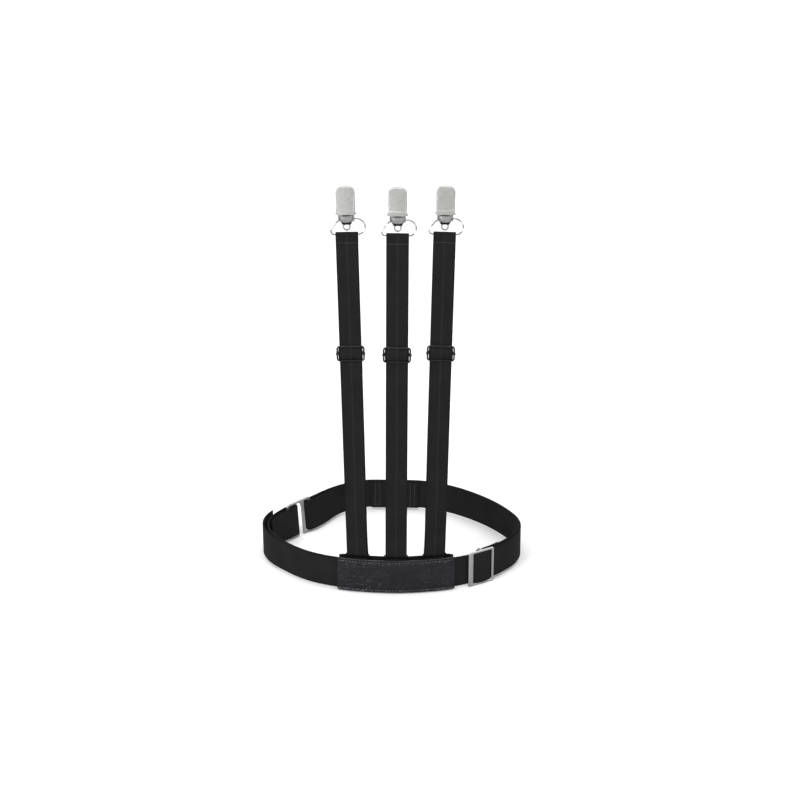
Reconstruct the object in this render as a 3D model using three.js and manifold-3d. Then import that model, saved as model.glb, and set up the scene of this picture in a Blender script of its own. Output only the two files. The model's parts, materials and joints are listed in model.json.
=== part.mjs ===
// Shirt stays: a thigh belt with three upright elastic straps, each ending in a metal clip.
// Millimetres, +Z up, the front of the belt towards -Y. The belt is a ribbon that follows one closed
// line in plan; the straps and clips are built upright in local frames that stand on that line.

import * as THREE from 'three';
import { mergeVertices } from 'three/addons/utils/BufferGeometryUtils.js';
import Module from 'manifold-3d';

const wasm = await Module();
wasm.setup();

// ---------------------------------------------------------------- driving dimensions

const gap = 0.3; // running clearance between touching pieces

const belt = {
  width: 254, // left to right, outside
  depth: 208, // front to back, outside
  webbing: 30, // webbing height
  thickness: 1.4,
  bottom: 2.4, // height of the webbing's lower edge over the floor
  step: 6, // spacing of the points along a ribbon
  tongueReach: 0.04, // hook to the tip of the free end outside, as a fraction of the belt line
  tongueLength: 85, // stretch over which the free end stands off
  tongueFlare: 6.5,
};

const patch = {
  centre: 9.5, // x of its middle
  length: 111,
  margin: 1.3, // the patch stands over each edge of the belt by this much
  thickness: 1.4,
  backingThickness: 1.2,
  backingRise: 1.0, // the backing stands this much over the patch
  endPinch: 7, // stretch at each end where the backing closes on the belt
};

const hook = {
  barSpacing: 30, // left bar to right bar, centres
  bar: 3.4,
  thickness: 1.8,
  windowClearance: 0.8, // more than the webbing's height
  rim: 2.0,
  corner: 2.4,
  station: 0.6755, // its middle, as a fraction of the belt line from the patch, counter-clockwise
  loopSlack: 3.3, // hook plane to the middle of each webbing layer
  leftFold: 12, // left bar to the end of the left loop
  rightFold: 5,
  stem: { from: -6.9, to: -3.9, closedFillet: 1.6, openFillet: 4.6, fall: 8 }, // between the windows
  freeEnd: 2.6, // where the lower arm of the open window stops
};

const panel = { length: 50, margin: 0.2, thickness: 1.2, centre: 0.4965 };

const adjuster = {
  length: 29.6,
  windowClearance: 0.6, // more than the webbing's height
  rim: 2.2,
  corner: 2.2,
  bevel: 0.5,
  thickness: 2.0,
  wideBar: 5.4,
  thinBar: 2.5,
  centreBar: 2.0,
  gapToPatch: 13.5,
  tailLength: 28,
};

const strap = {
  width: 20,
  thickness: 1.2,
  length: 306.5, // anchor bar to bail bar
  spacing: 37,
  splay: 1.35, // degrees that each outer strap leans outward
  middleLean: 0.3,
  sliderHeight: 197.5, // anchor bar to the slider's middle
  hem: 7.5,
  twistFrom: 12, // the strap turns from the patch's curve to face the front over this stretch
  twistTo: 150,
};

const wire = { anchor: 1.2, slider: 1.6, bail: 1.3, pin: 1.2 };
const anchorRing = { sideClearance: 0.4, height: 7.0, corner: 1.6, tabThickness: 0.9, tabLength: 18 };
const slider = { sideClearance: 1.2, height: 14.8, corner: 2.0, tail: 22, nubRadius: 1.35, nubLength: 2.6 };
anchorRing.width = strap.width + 2 * (anchorRing.sideClearance + wire.anchor);
slider.width = strap.width + 2 * (slider.sideClearance + wire.slider);

const clip = {
  width: 16.5, // lever plate
  leverHeight: 25.0,
  top: 43.8, // bail bar to the top of the lever
  sheet: 0.8, // metal thickness
  bailPivot: 13, // bail bar to the bail's ends
  pinInLever: 0.8, // lever's lower edge to its pin
  pinForward: 4.0, // pin in front of the bail plane
  backPlane: 1.5, // front face of the back plate, behind the bail plane
  eyelet: 7.0,
  eyeletHole: 4.6,
  leverDepth: 3.35,
  leverCorner: 6.4,
  bailSpan: 30,
  sideClearance: 0.35, // between the lever, the ears inside it and the jaw inside them
  padHeight: 6,
  toothPitch: 1.5,
  toothDepth: 0.55,
};
clip.pinHeight = clip.top - clip.leverHeight + clip.pinInLever;

const ear = {
  outside: clip.width / 2 - clip.sheet - clip.sideClearance,
  radius: 1.1,
  hole: 0.2, // pin and bail clearance in the ear
};
const jawWidth = 2 * (ear.outside - clip.sheet - gap);

// ---------------------------------------------------------------- materials

const finish = (color, roughness, metalness) =>
  new THREE.MeshStandardMaterial({ color, roughness, metalness });

const materials = {
  webbing: finish(0x151517, 0.85, 0),
  leather: finish(0x1b191d, 0.35, 0),
  nickel: finish(0xc4c4c2, 0.35, 1),
  satin: finish(0xa9abad, 0.4, 1),
  blackWire: finish(0x17181a, 0.35, 0.8),
  teeth: finish(0xdad8d2, 0.5, 0),
};

// ---------------------------------------------------------------- solid helpers

function solidFrom(geometry) {
  const bare = geometry.clone();
  bare.deleteAttribute('normal');
  bare.deleteAttribute('uv');
  const merged = mergeVertices(bare, 1e-4);
  return new wasm.Manifold(new wasm.Mesh({
    numProp: 3,
    vertProperties: new Float32Array(merged.attributes.position.array),
    triVerts: new Uint32Array(merged.index.array),
  }));
}

function geometryFrom(solid) {
  const mesh = solid.getMesh();
  const geometry = new THREE.BufferGeometry();
  geometry.setAttribute('position', new THREE.BufferAttribute(mesh.vertProperties, 3));
  geometry.setIndex(new THREE.BufferAttribute(mesh.triVerts, 1));
  return geometry;
}

function join(first, ...others) {
  return geometryFrom(others.reduce((sum, other) => sum.add(solidFrom(other)), solidFrom(first)));
}

function cut(first, ...others) {
  return geometryFrom(others.reduce((rest, other) => rest.subtract(solidFrom(other)), solidFrom(first)));
}

function box(x0, x1, y0, y1, z0, z1) {
  const geometry = new THREE.BoxGeometry(x1 - x0, y1 - y0, z1 - z0);
  return geometry.translate((x0 + x1) / 2, (y0 + y1) / 2, (z0 + z1) / 2);
}

// A cylinder along X.
function rod(radius, x0, x1, y, z, sides = 12) {
  const geometry = new THREE.CylinderGeometry(radius, radius, x1 - x0, sides);
  return geometry.rotateZ(Math.PI / 2).translate((x0 + x1) / 2, y, z);
}

const extruded = (shape, depth) =>
  new THREE.ExtrudeGeometry(shape, { depth, bevelEnabled: false, curveSegments: 5 });

// A drawing in (y, z), extruded along X and centred on x = 0.
function acrossX(shape, width) {
  const turn = new THREE.Matrix4().makeBasis(
    new THREE.Vector3(0, 1, 0), new THREE.Vector3(0, 0, 1), new THREE.Vector3(1, 0, 0));
  return extruded(shape, width).translate(0, 0, -width / 2).applyMatrix4(turn);
}

// A drawing in (x, z), extruded from y0 to y1.
function acrossY(shape, y0, y1) {
  return extruded(shape, y1 - y0).rotateX(Math.PI / 2).translate(0, y1, 0);
}

// The outline of a strip of even thickness that follows a line of points.
function ribbonShape(points, thickness) {
  const left = [];
  const right = [];
  points.forEach((point, i) => {
    const before = points[Math.max(i - 1, 0)];
    const after = points[Math.min(i + 1, points.length - 1)];
    const along = after.clone().sub(before).normalize();
    const normal = new THREE.Vector2(-along.y, along.x).multiplyScalar(thickness / 2);
    left.push(point.clone().add(normal));
    right.push(point.clone().sub(normal));
  });
  return new THREE.Shape([...left, ...right.reverse()]);
}

// A flat strap along a line of (y, z) points, centred on x = 0, with one row of faces for each step,
// so that it can be twisted afterwards.
function bandAcrossX(points, thickness, width) {
  const steps = points.length - 1;
  const geometry = new THREE.BoxGeometry(width, thickness, steps, 1, 1, steps);
  const position = geometry.attributes.position;
  for (let i = 0; i < position.count; i += 1) {
    const row = Math.round(position.getZ(i) + steps / 2);
    const along = points[Math.min(row + 1, steps)].clone().sub(points[Math.max(row - 1, 0)]).normalize();
    const side = position.getY(i);
    position.setY(i, points[row].x + along.y * side);
    position.setZ(i, points[row].y - along.x * side);
  }
  return geometry;
}

function arcPoints(centre, radius, fromDegrees, toDegrees, steps) {
  return Array.from({ length: steps + 1 }, (_, i) => {
    const angle = THREE.MathUtils.degToRad(fromDegrees + ((toDegrees - fromDegrees) * i) / steps);
    return new THREE.Vector2(centre.x + radius * Math.cos(angle), centre.y + radius * Math.sin(angle));
  });
}

// Smooth line through a few points, as Vector2s.
const smooth = (points, steps) => new THREE.SplineCurve(points).getPoints(steps);

function roundedRectangle(target, width, height, radius, centreX = 0, centreZ = 0) {
  const x = width / 2;
  const z = height / 2;
  const r = Math.min(radius, x, z);
  target.moveTo(centreX - x + r, centreZ - z);
  target.lineTo(centreX + x - r, centreZ - z);
  target.absarc(centreX + x - r, centreZ - z + r, r, -Math.PI / 2, 0, false);
  target.lineTo(centreX + x, centreZ + z - r);
  target.absarc(centreX + x - r, centreZ + z - r, r, 0, Math.PI / 2, false);
  target.lineTo(centreX - x + r, centreZ + z);
  target.absarc(centreX - x + r, centreZ + z - r, r, Math.PI / 2, Math.PI, false);
  target.lineTo(centreX - x, centreZ - z + r);
  target.absarc(centreX - x + r, centreZ - z + r, r, Math.PI, Math.PI * 1.5, false);
  return target;
}

// A rectangular wire loop in the XZ plane with an eight-sided section.
function wireLoop(width, height, diameter, radius, centreZ = 0) {
  const shape = roundedRectangle(new THREE.Shape(), width, height, radius, 0, centreZ);
  const inner = Math.max(radius - diameter, 0.3);
  shape.holes.push(roundedRectangle(
    new THREE.Path(), width - 2 * diameter, height - 2 * diameter, inner, 0, centreZ));
  const bevel = diameter * 0.29;
  const geometry = new THREE.ExtrudeGeometry(shape, {
    depth: diameter - 2 * bevel,
    bevelEnabled: true,
    bevelThickness: bevel,
    bevelSize: bevel,
    bevelOffset: -bevel,
    bevelSegments: 1,
    curveSegments: 2,
  });
  return geometry.translate(0, 0, -(diameter / 2 - bevel)).rotateX(Math.PI / 2);
}

// A round wire along a line of points.
function wireAlong(points, diameter, steps, sides = 8) {
  const section = new THREE.Shape(Array.from({ length: sides }, (_, i) => {
    const angle = (2 * Math.PI * i) / sides;
    return new THREE.Vector2(Math.cos(angle), Math.sin(angle)).multiplyScalar(diameter / 2);
  }));
  const extrudePath = new THREE.CatmullRomCurve3(points, false, 'centripetal');
  return new THREE.ExtrudeGeometry(section, { steps, extrudePath });
}

const object = new THREE.Group();

function add(parent, name, geometry, material) {
  const mesh = new THREE.Mesh(geometry, material);
  mesh.name = name;
  parent.add(mesh);
  return mesh;
}

// ---------------------------------------------------------------- the belt's line in plan

// The stretch that the adjuster slides along is a true arc; the rest is a smooth closed line that is
// fullest at the front, flat at the back panel and nearly straight at the hook.
const adjusterArc = { x: 17.7, y: 17.5, radius: 118.7, from: -78, to: -29, points: 7 };

const beltLine = (() => {
  const plan = [
    [patch.centre, -103.4],
    ...arcPoints(adjusterArc, adjusterArc.radius, adjusterArc.from, adjusterArc.to, adjusterArc.points)
      .map((p) => [p.x, p.y]),
    [127.8, -19], [127, 2], [118.5, 24], [97, 56], [66, 85],
    [40, 99], [24, 103], [0, 103.2], [-24, 103],
    [-38, 99.5], [-60, 82.5], [-84.5, 50], [-104.5, 25.5], [-117, 3], [-120, -17],
    [-114.5, -40], [-98, -63.5], [-72, -85.5], [-38, -98.6],
  ];
  const scaleX = belt.width / 254;
  const scaleY = belt.depth / 208;
  const curve = new THREE.CatmullRomCurve3(
    plan.map(([x, y]) => new THREE.Vector3(x * scaleX, y * scaleY, 0)), true, 'centripetal');
  curve.arcLengthDivisions = 1200;
  return curve;
})();

const beltLength = beltLine.getLength();

// s runs along the belt from the middle of the patch, counter-clockwise seen from above.
function beltFrame(s) {
  const u = THREE.MathUtils.euclideanModulo(s / beltLength, 1);
  const point = beltLine.getPointAt(u);
  const tangent = beltLine.getTangentAt(u);
  return { point, tangent, outward: new THREE.Vector3(tangent.y, -tangent.x, 0) };
}

function beltPoint(s, offset = 0) {
  const { point, outward } = beltFrame(s);
  const placed = point.clone().addScaledVector(outward, offset);
  return new THREE.Vector2(placed.x, placed.y);
}

function beltPath(from, to, offset) {
  const steps = Math.max(1, Math.ceil(Math.abs(to - from) / belt.step));
  return Array.from({ length: steps + 1 }, (_, i) => {
    const s = from + ((to - from) * i) / steps;
    return beltPoint(s, typeof offset === 'function' ? offset(s) : offset);
  });
}

// A local frame on the belt: x along it, y inward, z up.
function standOnBelt(s, offset, z) {
  const { point, tangent, outward } = beltFrame(s);
  const group = new THREE.Group();
  group.position.copy(point).addScaledVector(outward, offset).setZ(z);
  group.rotation.z = Math.atan2(tangent.y, tangent.x);
  object.add(group);
  return group;
}

const blendBetween = (a, b, x, from, to) => a + (b - a) * THREE.MathUtils.smoothstep(x, from, to);

// Around the hook the belt leans outward at its top.
const lean = { x: -88, y: 50, reach: 34, topX: -3.0, topY: 6.0 };

function leaned(geometry) {
  const position = geometry.attributes.position;
  const middle = belt.bottom + belt.webbing / 2;
  for (let i = 0; i < position.count; i += 1) {
    const x = position.getX(i);
    const y = position.getY(i);
    const near = Math.exp(-((x - lean.x) ** 2 + (y - lean.y) ** 2) / (2 * lean.reach ** 2));
    const share = (near * (position.getZ(i) - middle)) / belt.webbing;
    position.setXY(i, x + lean.topX * share, y + lean.topY * share);
  }
  return geometry;
}

// A vertical strip of webbing or leather on the belt.
function upright(points, thickness, bottom, height) {
  return extruded(ribbonShape(points, thickness), height).translate(0, 0, bottom);
}

// ---------------------------------------------------------------- belt

const layer = belt.thickness + gap; // from one flush layer to the next
const hookMiddle = hook.station * beltLength;
const rightBar = hookMiddle - hook.barSpacing / 2;
const leftBar = hookMiddle + hook.barSpacing / 2;
const patchEnd = patch.length / 2;
const patchHeight = belt.webbing + 2 * patch.margin;
const adjusterMiddle = patchEnd + adjuster.gapToPatch + adjuster.length / 2;
const wrapRadius = adjuster.centreBar / 2 + 0.2 + belt.thickness / 2;
const centreBarOffset = -(belt.thickness + gap + wrapRadius);
const tailOffset = centreBarOffset - wrapRadius;

// The inner run comes back from the hook to the adjuster. It opens at both ends to clear the bars.
const returnEnd = adjusterMiddle + adjuster.length / 2 + 8;
const innerRun = (s) => {
  const hookSide = blendBetween(-2 * hook.loopSlack, -layer, rightBar - s, 8, 60);
  return blendBetween(tailOffset + belt.thickness + gap, hookSide, s, returnEnd + 12, returnEnd + 55);
};

function makeBelt() {
  const tongueTip = (hook.station + belt.tongueReach) * beltLength - beltLength;
  const tongueStart = tongueTip + belt.tongueLength;
  const tongueFlare = (s) => blendBetween(belt.tongueFlare, 0, s, tongueTip, tongueStart);
  const rightFold = rightBar + hook.rightFold;
  const foldBack = (s, slack) => {
    const { point, tangent, outward } = beltFrame(s);
    const centre = point.clone().addScaledVector(outward, -slack);
    const start = THREE.MathUtils.radToDeg(Math.atan2(outward.y, outward.x));
    const forward = Math.sign(outward.x * tangent.y - outward.y * tangent.x);
    return { centre, start, forward };
  };
  const right = foldBack(rightFold - hook.loopSlack, hook.loopSlack);
  add(object, 'belt_webbing', leaned(upright([
    ...beltPath(tongueTip, 0, tongueFlare).slice(0, -1),
    ...beltPath(0, rightFold - hook.loopSlack, 0),
    ...arcPoints(right.centre, hook.loopSlack, right.start, right.start + 180, 8).slice(1, -1),
    ...beltPath(rightFold - hook.loopSlack, returnEnd, innerRun),
  ], belt.thickness, belt.bottom, belt.webbing)), materials.webbing);

  const leftFold = leftBar - hook.leftFold;
  const left = foldBack(leftFold + hook.loopSlack, hook.loopSlack);
  const loopStart = beltLength - patchEnd + 4.5;
  const outerOffset = (s) => blendBetween(0, -layer, s, leftBar + 30, leftBar + 80);
  const loopEnd = leftBar + 40;
  add(object, 'hook_loop_webbing', leaned(upright([
    ...beltPath(loopStart, leftFold + hook.loopSlack, outerOffset),
    ...arcPoints(left.centre, hook.loopSlack, left.start, left.start - 180, 8).slice(1, -1),
    ...beltPath(leftFold + hook.loopSlack, loopEnd,
      (s) => blendBetween(-2 * hook.loopSlack, -4.2, s, leftBar + 4, loopEnd)),
  ], belt.thickness, belt.bottom, belt.webbing)), materials.webbing);
}

// ---------------------------------------------------------------- leather patch and back panel

const strapPlane = -(belt.thickness / 2 + gap + 0.5 + 1.9); // the straps' middle, behind the belt

function makePatch() {
  const bottom = belt.bottom - patch.margin;
  const patchOffset = belt.thickness / 2 + gap + patch.thickness / 2;
  add(object, 'leather_patch',
    upright(beltPath(-patchEnd, patchEnd, patchOffset), patch.thickness, bottom, patchHeight),
    materials.leather);

  const deep = strapPlane - 1.9 - gap - patch.backingThickness / 2;
  const shallow = { left: -(1.5 * layer + gap), right: -(layer + gap) };
  const backingOffset = (s) => {
    const side = s < 0 ? shallow.left - 0.6 : shallow.right;
    return blendBetween(deep, side, Math.abs(s), patchEnd - patch.endPinch, patchEnd);
  };
  add(object, 'patch_backing',
    upright(beltPath(-patchEnd, patchEnd, backingOffset),
      patch.backingThickness, bottom, patchHeight + patch.backingRise),
    materials.webbing);
}

function makeBackPanel() {
  const middle = panel.centre * beltLength;
  const offset = (s) => innerRun(s) - belt.thickness / 2 - gap - panel.thickness / 2;
  const path = beltPath(middle - panel.length / 2, middle + panel.length / 2, offset);
  add(object, 'back_panel',
    leaned(upright(path, panel.thickness, belt.bottom - panel.margin, belt.webbing + 2 * panel.margin)),
    materials.webbing);
}

// ---------------------------------------------------------------- closure hook

// A flat plate with two windows. The left window is open at its lower right corner, where the left
// loop is pushed in. Drawn in (x, z) with the right bar on the left-hand side, because x runs with s.
function makeHook() {
  const { rim, corner, stem, freeEnd } = hook;
  const top = belt.webbing + hook.windowClearance + 2 * rim;
  const half = hook.barSpacing / 2 + hook.bar / 2;
  const inside = half - hook.bar;

  const shape = new THREE.Shape();
  shape.moveTo(-half + corner, 0);
  shape.lineTo(stem.to - 1, 0);
  shape.quadraticCurveTo(stem.to, 0, stem.to, 1);
  shape.lineTo(stem.to, top - rim - stem.fall);
  shape.quadraticCurveTo(stem.to, top - rim, stem.to + stem.openFillet, top - rim);
  shape.lineTo(inside, top - rim);
  shape.lineTo(inside, rim);
  shape.lineTo(freeEnd + rim / 2, rim);
  shape.absarc(freeEnd + rim / 2, rim / 2, rim / 2, Math.PI / 2, Math.PI * 1.5, false);
  shape.lineTo(half - corner, 0);
  shape.absarc(half - corner, corner, corner, -Math.PI / 2, 0, false);
  shape.lineTo(half, top - corner);
  shape.absarc(half - corner, top - corner, corner, 0, Math.PI / 2, false);
  shape.lineTo(-half + corner, top);
  shape.absarc(-half + corner, top - corner, corner, Math.PI / 2, Math.PI, false);
  shape.lineTo(-half, corner);
  shape.absarc(-half + corner, corner, corner, Math.PI, Math.PI * 1.5, false);

  const window = new THREE.Path();
  window.moveTo(-inside, rim);
  window.lineTo(stem.from, rim);
  window.lineTo(stem.from, top - rim - stem.fall / 2);
  window.quadraticCurveTo(stem.from, top - rim, stem.from - stem.closedFillet, top - rim);
  window.lineTo(-inside, top - rim);
  window.closePath();
  shape.holes.push(window);

  const geometry = acrossY(shape, -hook.thickness / 2, hook.thickness / 2);
  const frame = new THREE.Matrix4();
  const from = beltPoint(rightBar, -hook.loopSlack);
  const to = beltPoint(leftBar, -hook.loopSlack);
  frame.makeRotationZ(Math.atan2(to.y - from.y, to.x - from.x));
  frame.setPosition((from.x + to.x) / 2, (from.y + to.y) / 2, 0);
  add(object, 'closure_hook', leaned(geometry.applyMatrix4(frame)), materials.satin);
}

// ---------------------------------------------------------------- belt adjuster

function makeAdjuster() {
  const group = standOnBelt(adjusterMiddle, 0, 0);
  const windowHeight = belt.webbing + adjuster.windowClearance;
  const height = windowHeight + 2 * adjuster.rim;
  const half = adjuster.length / 2;
  const bottom = belt.bottom + belt.webbing / 2 - height / 2;
  const front = -(belt.thickness / 2 + gap + adjuster.thickness);
  const windowFrom = -half + adjuster.wideBar;
  const windowTo = half - adjuster.thinBar;
  const windowMiddle = (windowFrom + windowTo) / 2;

  const shape = roundedRectangle(
    new THREE.Shape(), adjuster.length, height, adjuster.corner, 0, height / 2);
  shape.holes.push(roundedRectangle(new THREE.Path(),
    windowTo - windowFrom, windowHeight, 0.4, windowMiddle, height / 2));
  const { bevel } = adjuster;
  const frame = new THREE.ExtrudeGeometry(shape, {
    depth: adjuster.thickness - 2 * bevel,
    bevelEnabled: true,
    bevelThickness: bevel,
    bevelSize: bevel,
    bevelOffset: -bevel,
    bevelSegments: 1,
    curveSegments: 3,
  }).translate(0, 0, bevel).rotateX(Math.PI / 2).translate(0, front + adjuster.thickness, bottom);
  add(group, 'belt_adjuster_frame', frame, materials.satin);

  // The centre bar runs behind the belt and comes forward over its edges to the frame.
  const r = adjuster.centreBar / 2;
  const barY = -centreBarOffset;
  const reach = belt.webbing / 2 + gap + r;
  const middle = belt.bottom + belt.webbing / 2;
  const frameBack = front + adjuster.thickness;
  const bar = join(
    new THREE.CylinderGeometry(r, r, 2 * reach + 2 * r, 12).rotateX(Math.PI / 2)
      .translate(windowMiddle, barY, middle),
    box(windowMiddle - r, windowMiddle + r, frameBack + gap, barY, middle + reach - r, middle + reach + r),
    box(windowMiddle - r, windowMiddle + r, frameBack + gap, barY, middle - reach - r, middle - reach + r),
  );
  add(group, 'belt_adjuster_bar', bar, materials.satin);

  // Webbing that shows in the window, arched over the centre bar.
  const rise = -front + 0.9;
  const start = belt.thickness / 2 + gap + 0.5;
  const arch = new THREE.SplineCurve([
    new THREE.Vector2(windowFrom + gap, -start),
    new THREE.Vector2(windowFrom + 4.5, -(start + rise) / 2 - 0.6),
    new THREE.Vector2(windowMiddle, -rise),
    new THREE.Vector2(windowTo - 4.5, -(start + rise) / 2 - 0.6),
    new THREE.Vector2(windowTo - gap, -start),
  ]).getPoints(12);
  const archShape = new THREE.Shape([...arch,
    new THREE.Vector2(windowTo - gap, -start + 0.5), new THREE.Vector2(windowFrom + gap, -start + 0.5)]);
  add(group, 'belt_adjuster_arch', extruded(archShape, belt.webbing).translate(0, 0, belt.bottom),
    materials.webbing);

  // The webbing's inner end, folded round the centre bar and lying on the inner run.
  const centre = new THREE.Vector2(windowMiddle, barY);
  const s0 = adjusterMiddle + windowMiddle;
  group.updateMatrix();
  const inward = group.matrix.clone().invert();
  const local = (p) => {
    const v = new THREE.Vector3(p.x, p.y, 0).applyMatrix4(inward);
    return new THREE.Vector2(v.x, v.y);
  };
  const tail = beltPath(s0 + 4, s0 + adjuster.tailLength, tailOffset).map(local);
  add(group, 'belt_adjuster_end', extruded(ribbonShape([
    ...arcPoints(centre, wrapRadius, 330, 90, 10),
    ...tail,
  ], belt.thickness), belt.webbing).translate(0, 0, belt.bottom), materials.webbing);
}

// ---------------------------------------------------------------- straps

const foldRadius = wire.anchor / 2 + 0.4 + strap.thickness / 2;

// The middle line of the strap's webbing, from the rear end, round the anchor bar, up the front and
// over the bail bar into the hem.
function strapLine() {
  const front = -foldRadius;
  const back = front + strap.thickness + gap;
  const rearEnd = strap.sliderHeight - 15;
  const rear = smooth([
    new THREE.Vector2(foldRadius, 1.5),
    new THREE.Vector2(back + 0.7, 10),
    new THREE.Vector2(back + 0.1, 20),
    new THREE.Vector2(back, 40),
    new THREE.Vector2(back, 80),
    new THREE.Vector2(back, 120),
    new THREE.Vector2(back, rearEnd - 40),
    new THREE.Vector2(back + 0.5, rearEnd - 18),
    new THREE.Vector2(back + 1.6, rearEnd),
  ], 28);
  const rows = 14;
  const frontRun = Array.from({ length: rows + 1 }, (_, i) =>
    new THREE.Vector2(front, THREE.MathUtils.lerp(strap.twistFrom, strap.twistTo, i / rows)));
  const hem = smooth([
    new THREE.Vector2(foldRadius, strap.length),
    new THREE.Vector2(back + 1.2, strap.length - 2.6),
    new THREE.Vector2(back, strap.length - 5),
    new THREE.Vector2(back, strap.length - strap.hem - 1),
  ], 8);
  return [
    ...rear.reverse(),
    ...arcPoints(new THREE.Vector2(0, 0), foldRadius, 0, -180, 10).slice(1),
    ...frontRun,
    ...arcPoints(new THREE.Vector2(0, strap.length), foldRadius, 180, 0, 10),
    ...hem.slice(1),
  ];
}

// Turns the webbing about its own line so that it faces the front above the twist.
function twisted(geometry, angle) {
  const position = geometry.attributes.position;
  for (let i = 0; i < position.count; i += 1) {
    const turn = -angle * THREE.MathUtils.smoothstep(position.getZ(i), strap.twistFrom, strap.twistTo);
    const x = position.getX(i);
    const y = position.getY(i);
    position.setXY(i, x * Math.cos(turn) - y * Math.sin(turn), x * Math.sin(turn) + y * Math.cos(turn));
  }
  return geometry;
}

function makeSlider(group, name) {
  const at = new THREE.Group();
  at.position.z = strap.sliderHeight;
  group.add(at);
  const frontFace = -(foldRadius + strap.thickness / 2);
  const frameY = frontFace - gap - wire.slider / 2;
  const sideX = slider.width / 2 - wire.slider / 2;
  const wrap = wire.slider / 2 + 0.2 + strap.thickness / 2;
  const barY = -foldRadius + strap.thickness / 2 + gap + wrap + strap.thickness / 2;
  const bar = wireAlong([
    new THREE.Vector3(-sideX, frameY, 0),
    new THREE.Vector3(-sideX, barY - 1.6, 0),
    new THREE.Vector3(-sideX + 1.2, barY, 0),
    new THREE.Vector3(-sideX + 3, barY, 0),
    new THREE.Vector3(sideX - 3, barY, 0),
    new THREE.Vector3(sideX - 1.2, barY, 0),
    new THREE.Vector3(sideX, barY - 1.6, 0),
    new THREE.Vector3(sideX, frameY, 0),
  ], wire.slider, 18);
  const nub = (x) => new THREE.CylinderGeometry(slider.nubRadius, slider.nubRadius, slider.nubLength, 10)
    .rotateX(Math.PI / 2).translate(x, frameY, 0);
  const loop = wireLoop(slider.width, slider.height, wire.slider, slider.corner).translate(0, frameY, 0);
  add(at, `strap_${name}_slider`, join(loop, bar, nub(-sideX), nub(sideX)), materials.blackWire);

  const half = slider.height / 2 - wire.slider - gap;
  const arch = smooth([
    new THREE.Vector2(frontFace - gap - 0.2, -half),
    new THREE.Vector2(frontFace - 1.5, -half * 0.55),
    new THREE.Vector2(frontFace - 2.1, 0),
    new THREE.Vector2(frontFace - 1.5, half * 0.55),
    new THREE.Vector2(frontFace - gap - 0.2, half),
  ], 10);
  const archShape = new THREE.Shape([...arch,
    new THREE.Vector2(frontFace - gap, half), new THREE.Vector2(frontFace - gap, -half)]);
  add(at, `strap_${name}_slider_arch`, acrossX(archShape, strap.width), materials.webbing);

  add(at, `strap_${name}_slider_end`, acrossX(ribbonShape([
    ...arcPoints(new THREE.Vector2(barY, 0), wrap, 200, 0, 10),
    new THREE.Vector2(barY + wrap, -6),
    new THREE.Vector2(barY + wrap, -slider.tail),
  ], strap.thickness), strap.width), materials.webbing);
}

function makeAnchor(group, name) {
  const ring = wireLoop(anchorRing.width, anchorRing.height, wire.anchor, anchorRing.corner,
    wire.anchor / 2 - anchorRing.height / 2);
  add(group, `strap_${name}_anchor_ring`, ring, materials.blackWire);
  const radius = wire.anchor / 2 + 0.2 + anchorRing.tabThickness / 2;
  const lowerBar = wire.anchor - anchorRing.height;
  const tabEnd = lowerBar - anchorRing.tabLength;
  add(group, `strap_${name}_anchor_tab`, acrossX(ribbonShape([
    new THREE.Vector2(-radius, tabEnd),
    ...arcPoints(new THREE.Vector2(0, lowerBar), radius, 180, 0, 10),
    new THREE.Vector2(radius, tabEnd),
  ], anchorRing.tabThickness), strap.width - 1), materials.webbing);
}

// ---------------------------------------------------------------- clips

// Local frame: z up from the bail's lower bar, y backward, x across.

function clipBail() {
  const half = clip.width / 2;
  const side = clip.bailSpan / 2 - wire.bail / 2;
  const halfLine = [
    [half - 2.6, clip.bailPivot],
    [half + 0.5, clip.bailPivot],
    [half + 3.0, clip.bailPivot - 1.6],
    [side - 1.6, 9.0],
    [side, 5.2],
    [side - 1.2, 2.0],
    [strap.width / 2 + 1.2, 0.15],
    [strap.width / 2 - 1.5, 0],
  ];
  const points = [
    ...halfLine.map(([x, z]) => new THREE.Vector3(x, 0, z)),
    ...halfLine.map(([x, z]) => new THREE.Vector3(-x, 0, z)).reverse(),
  ];
  return wireAlong(points, wire.bail, 46);
}

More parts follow.
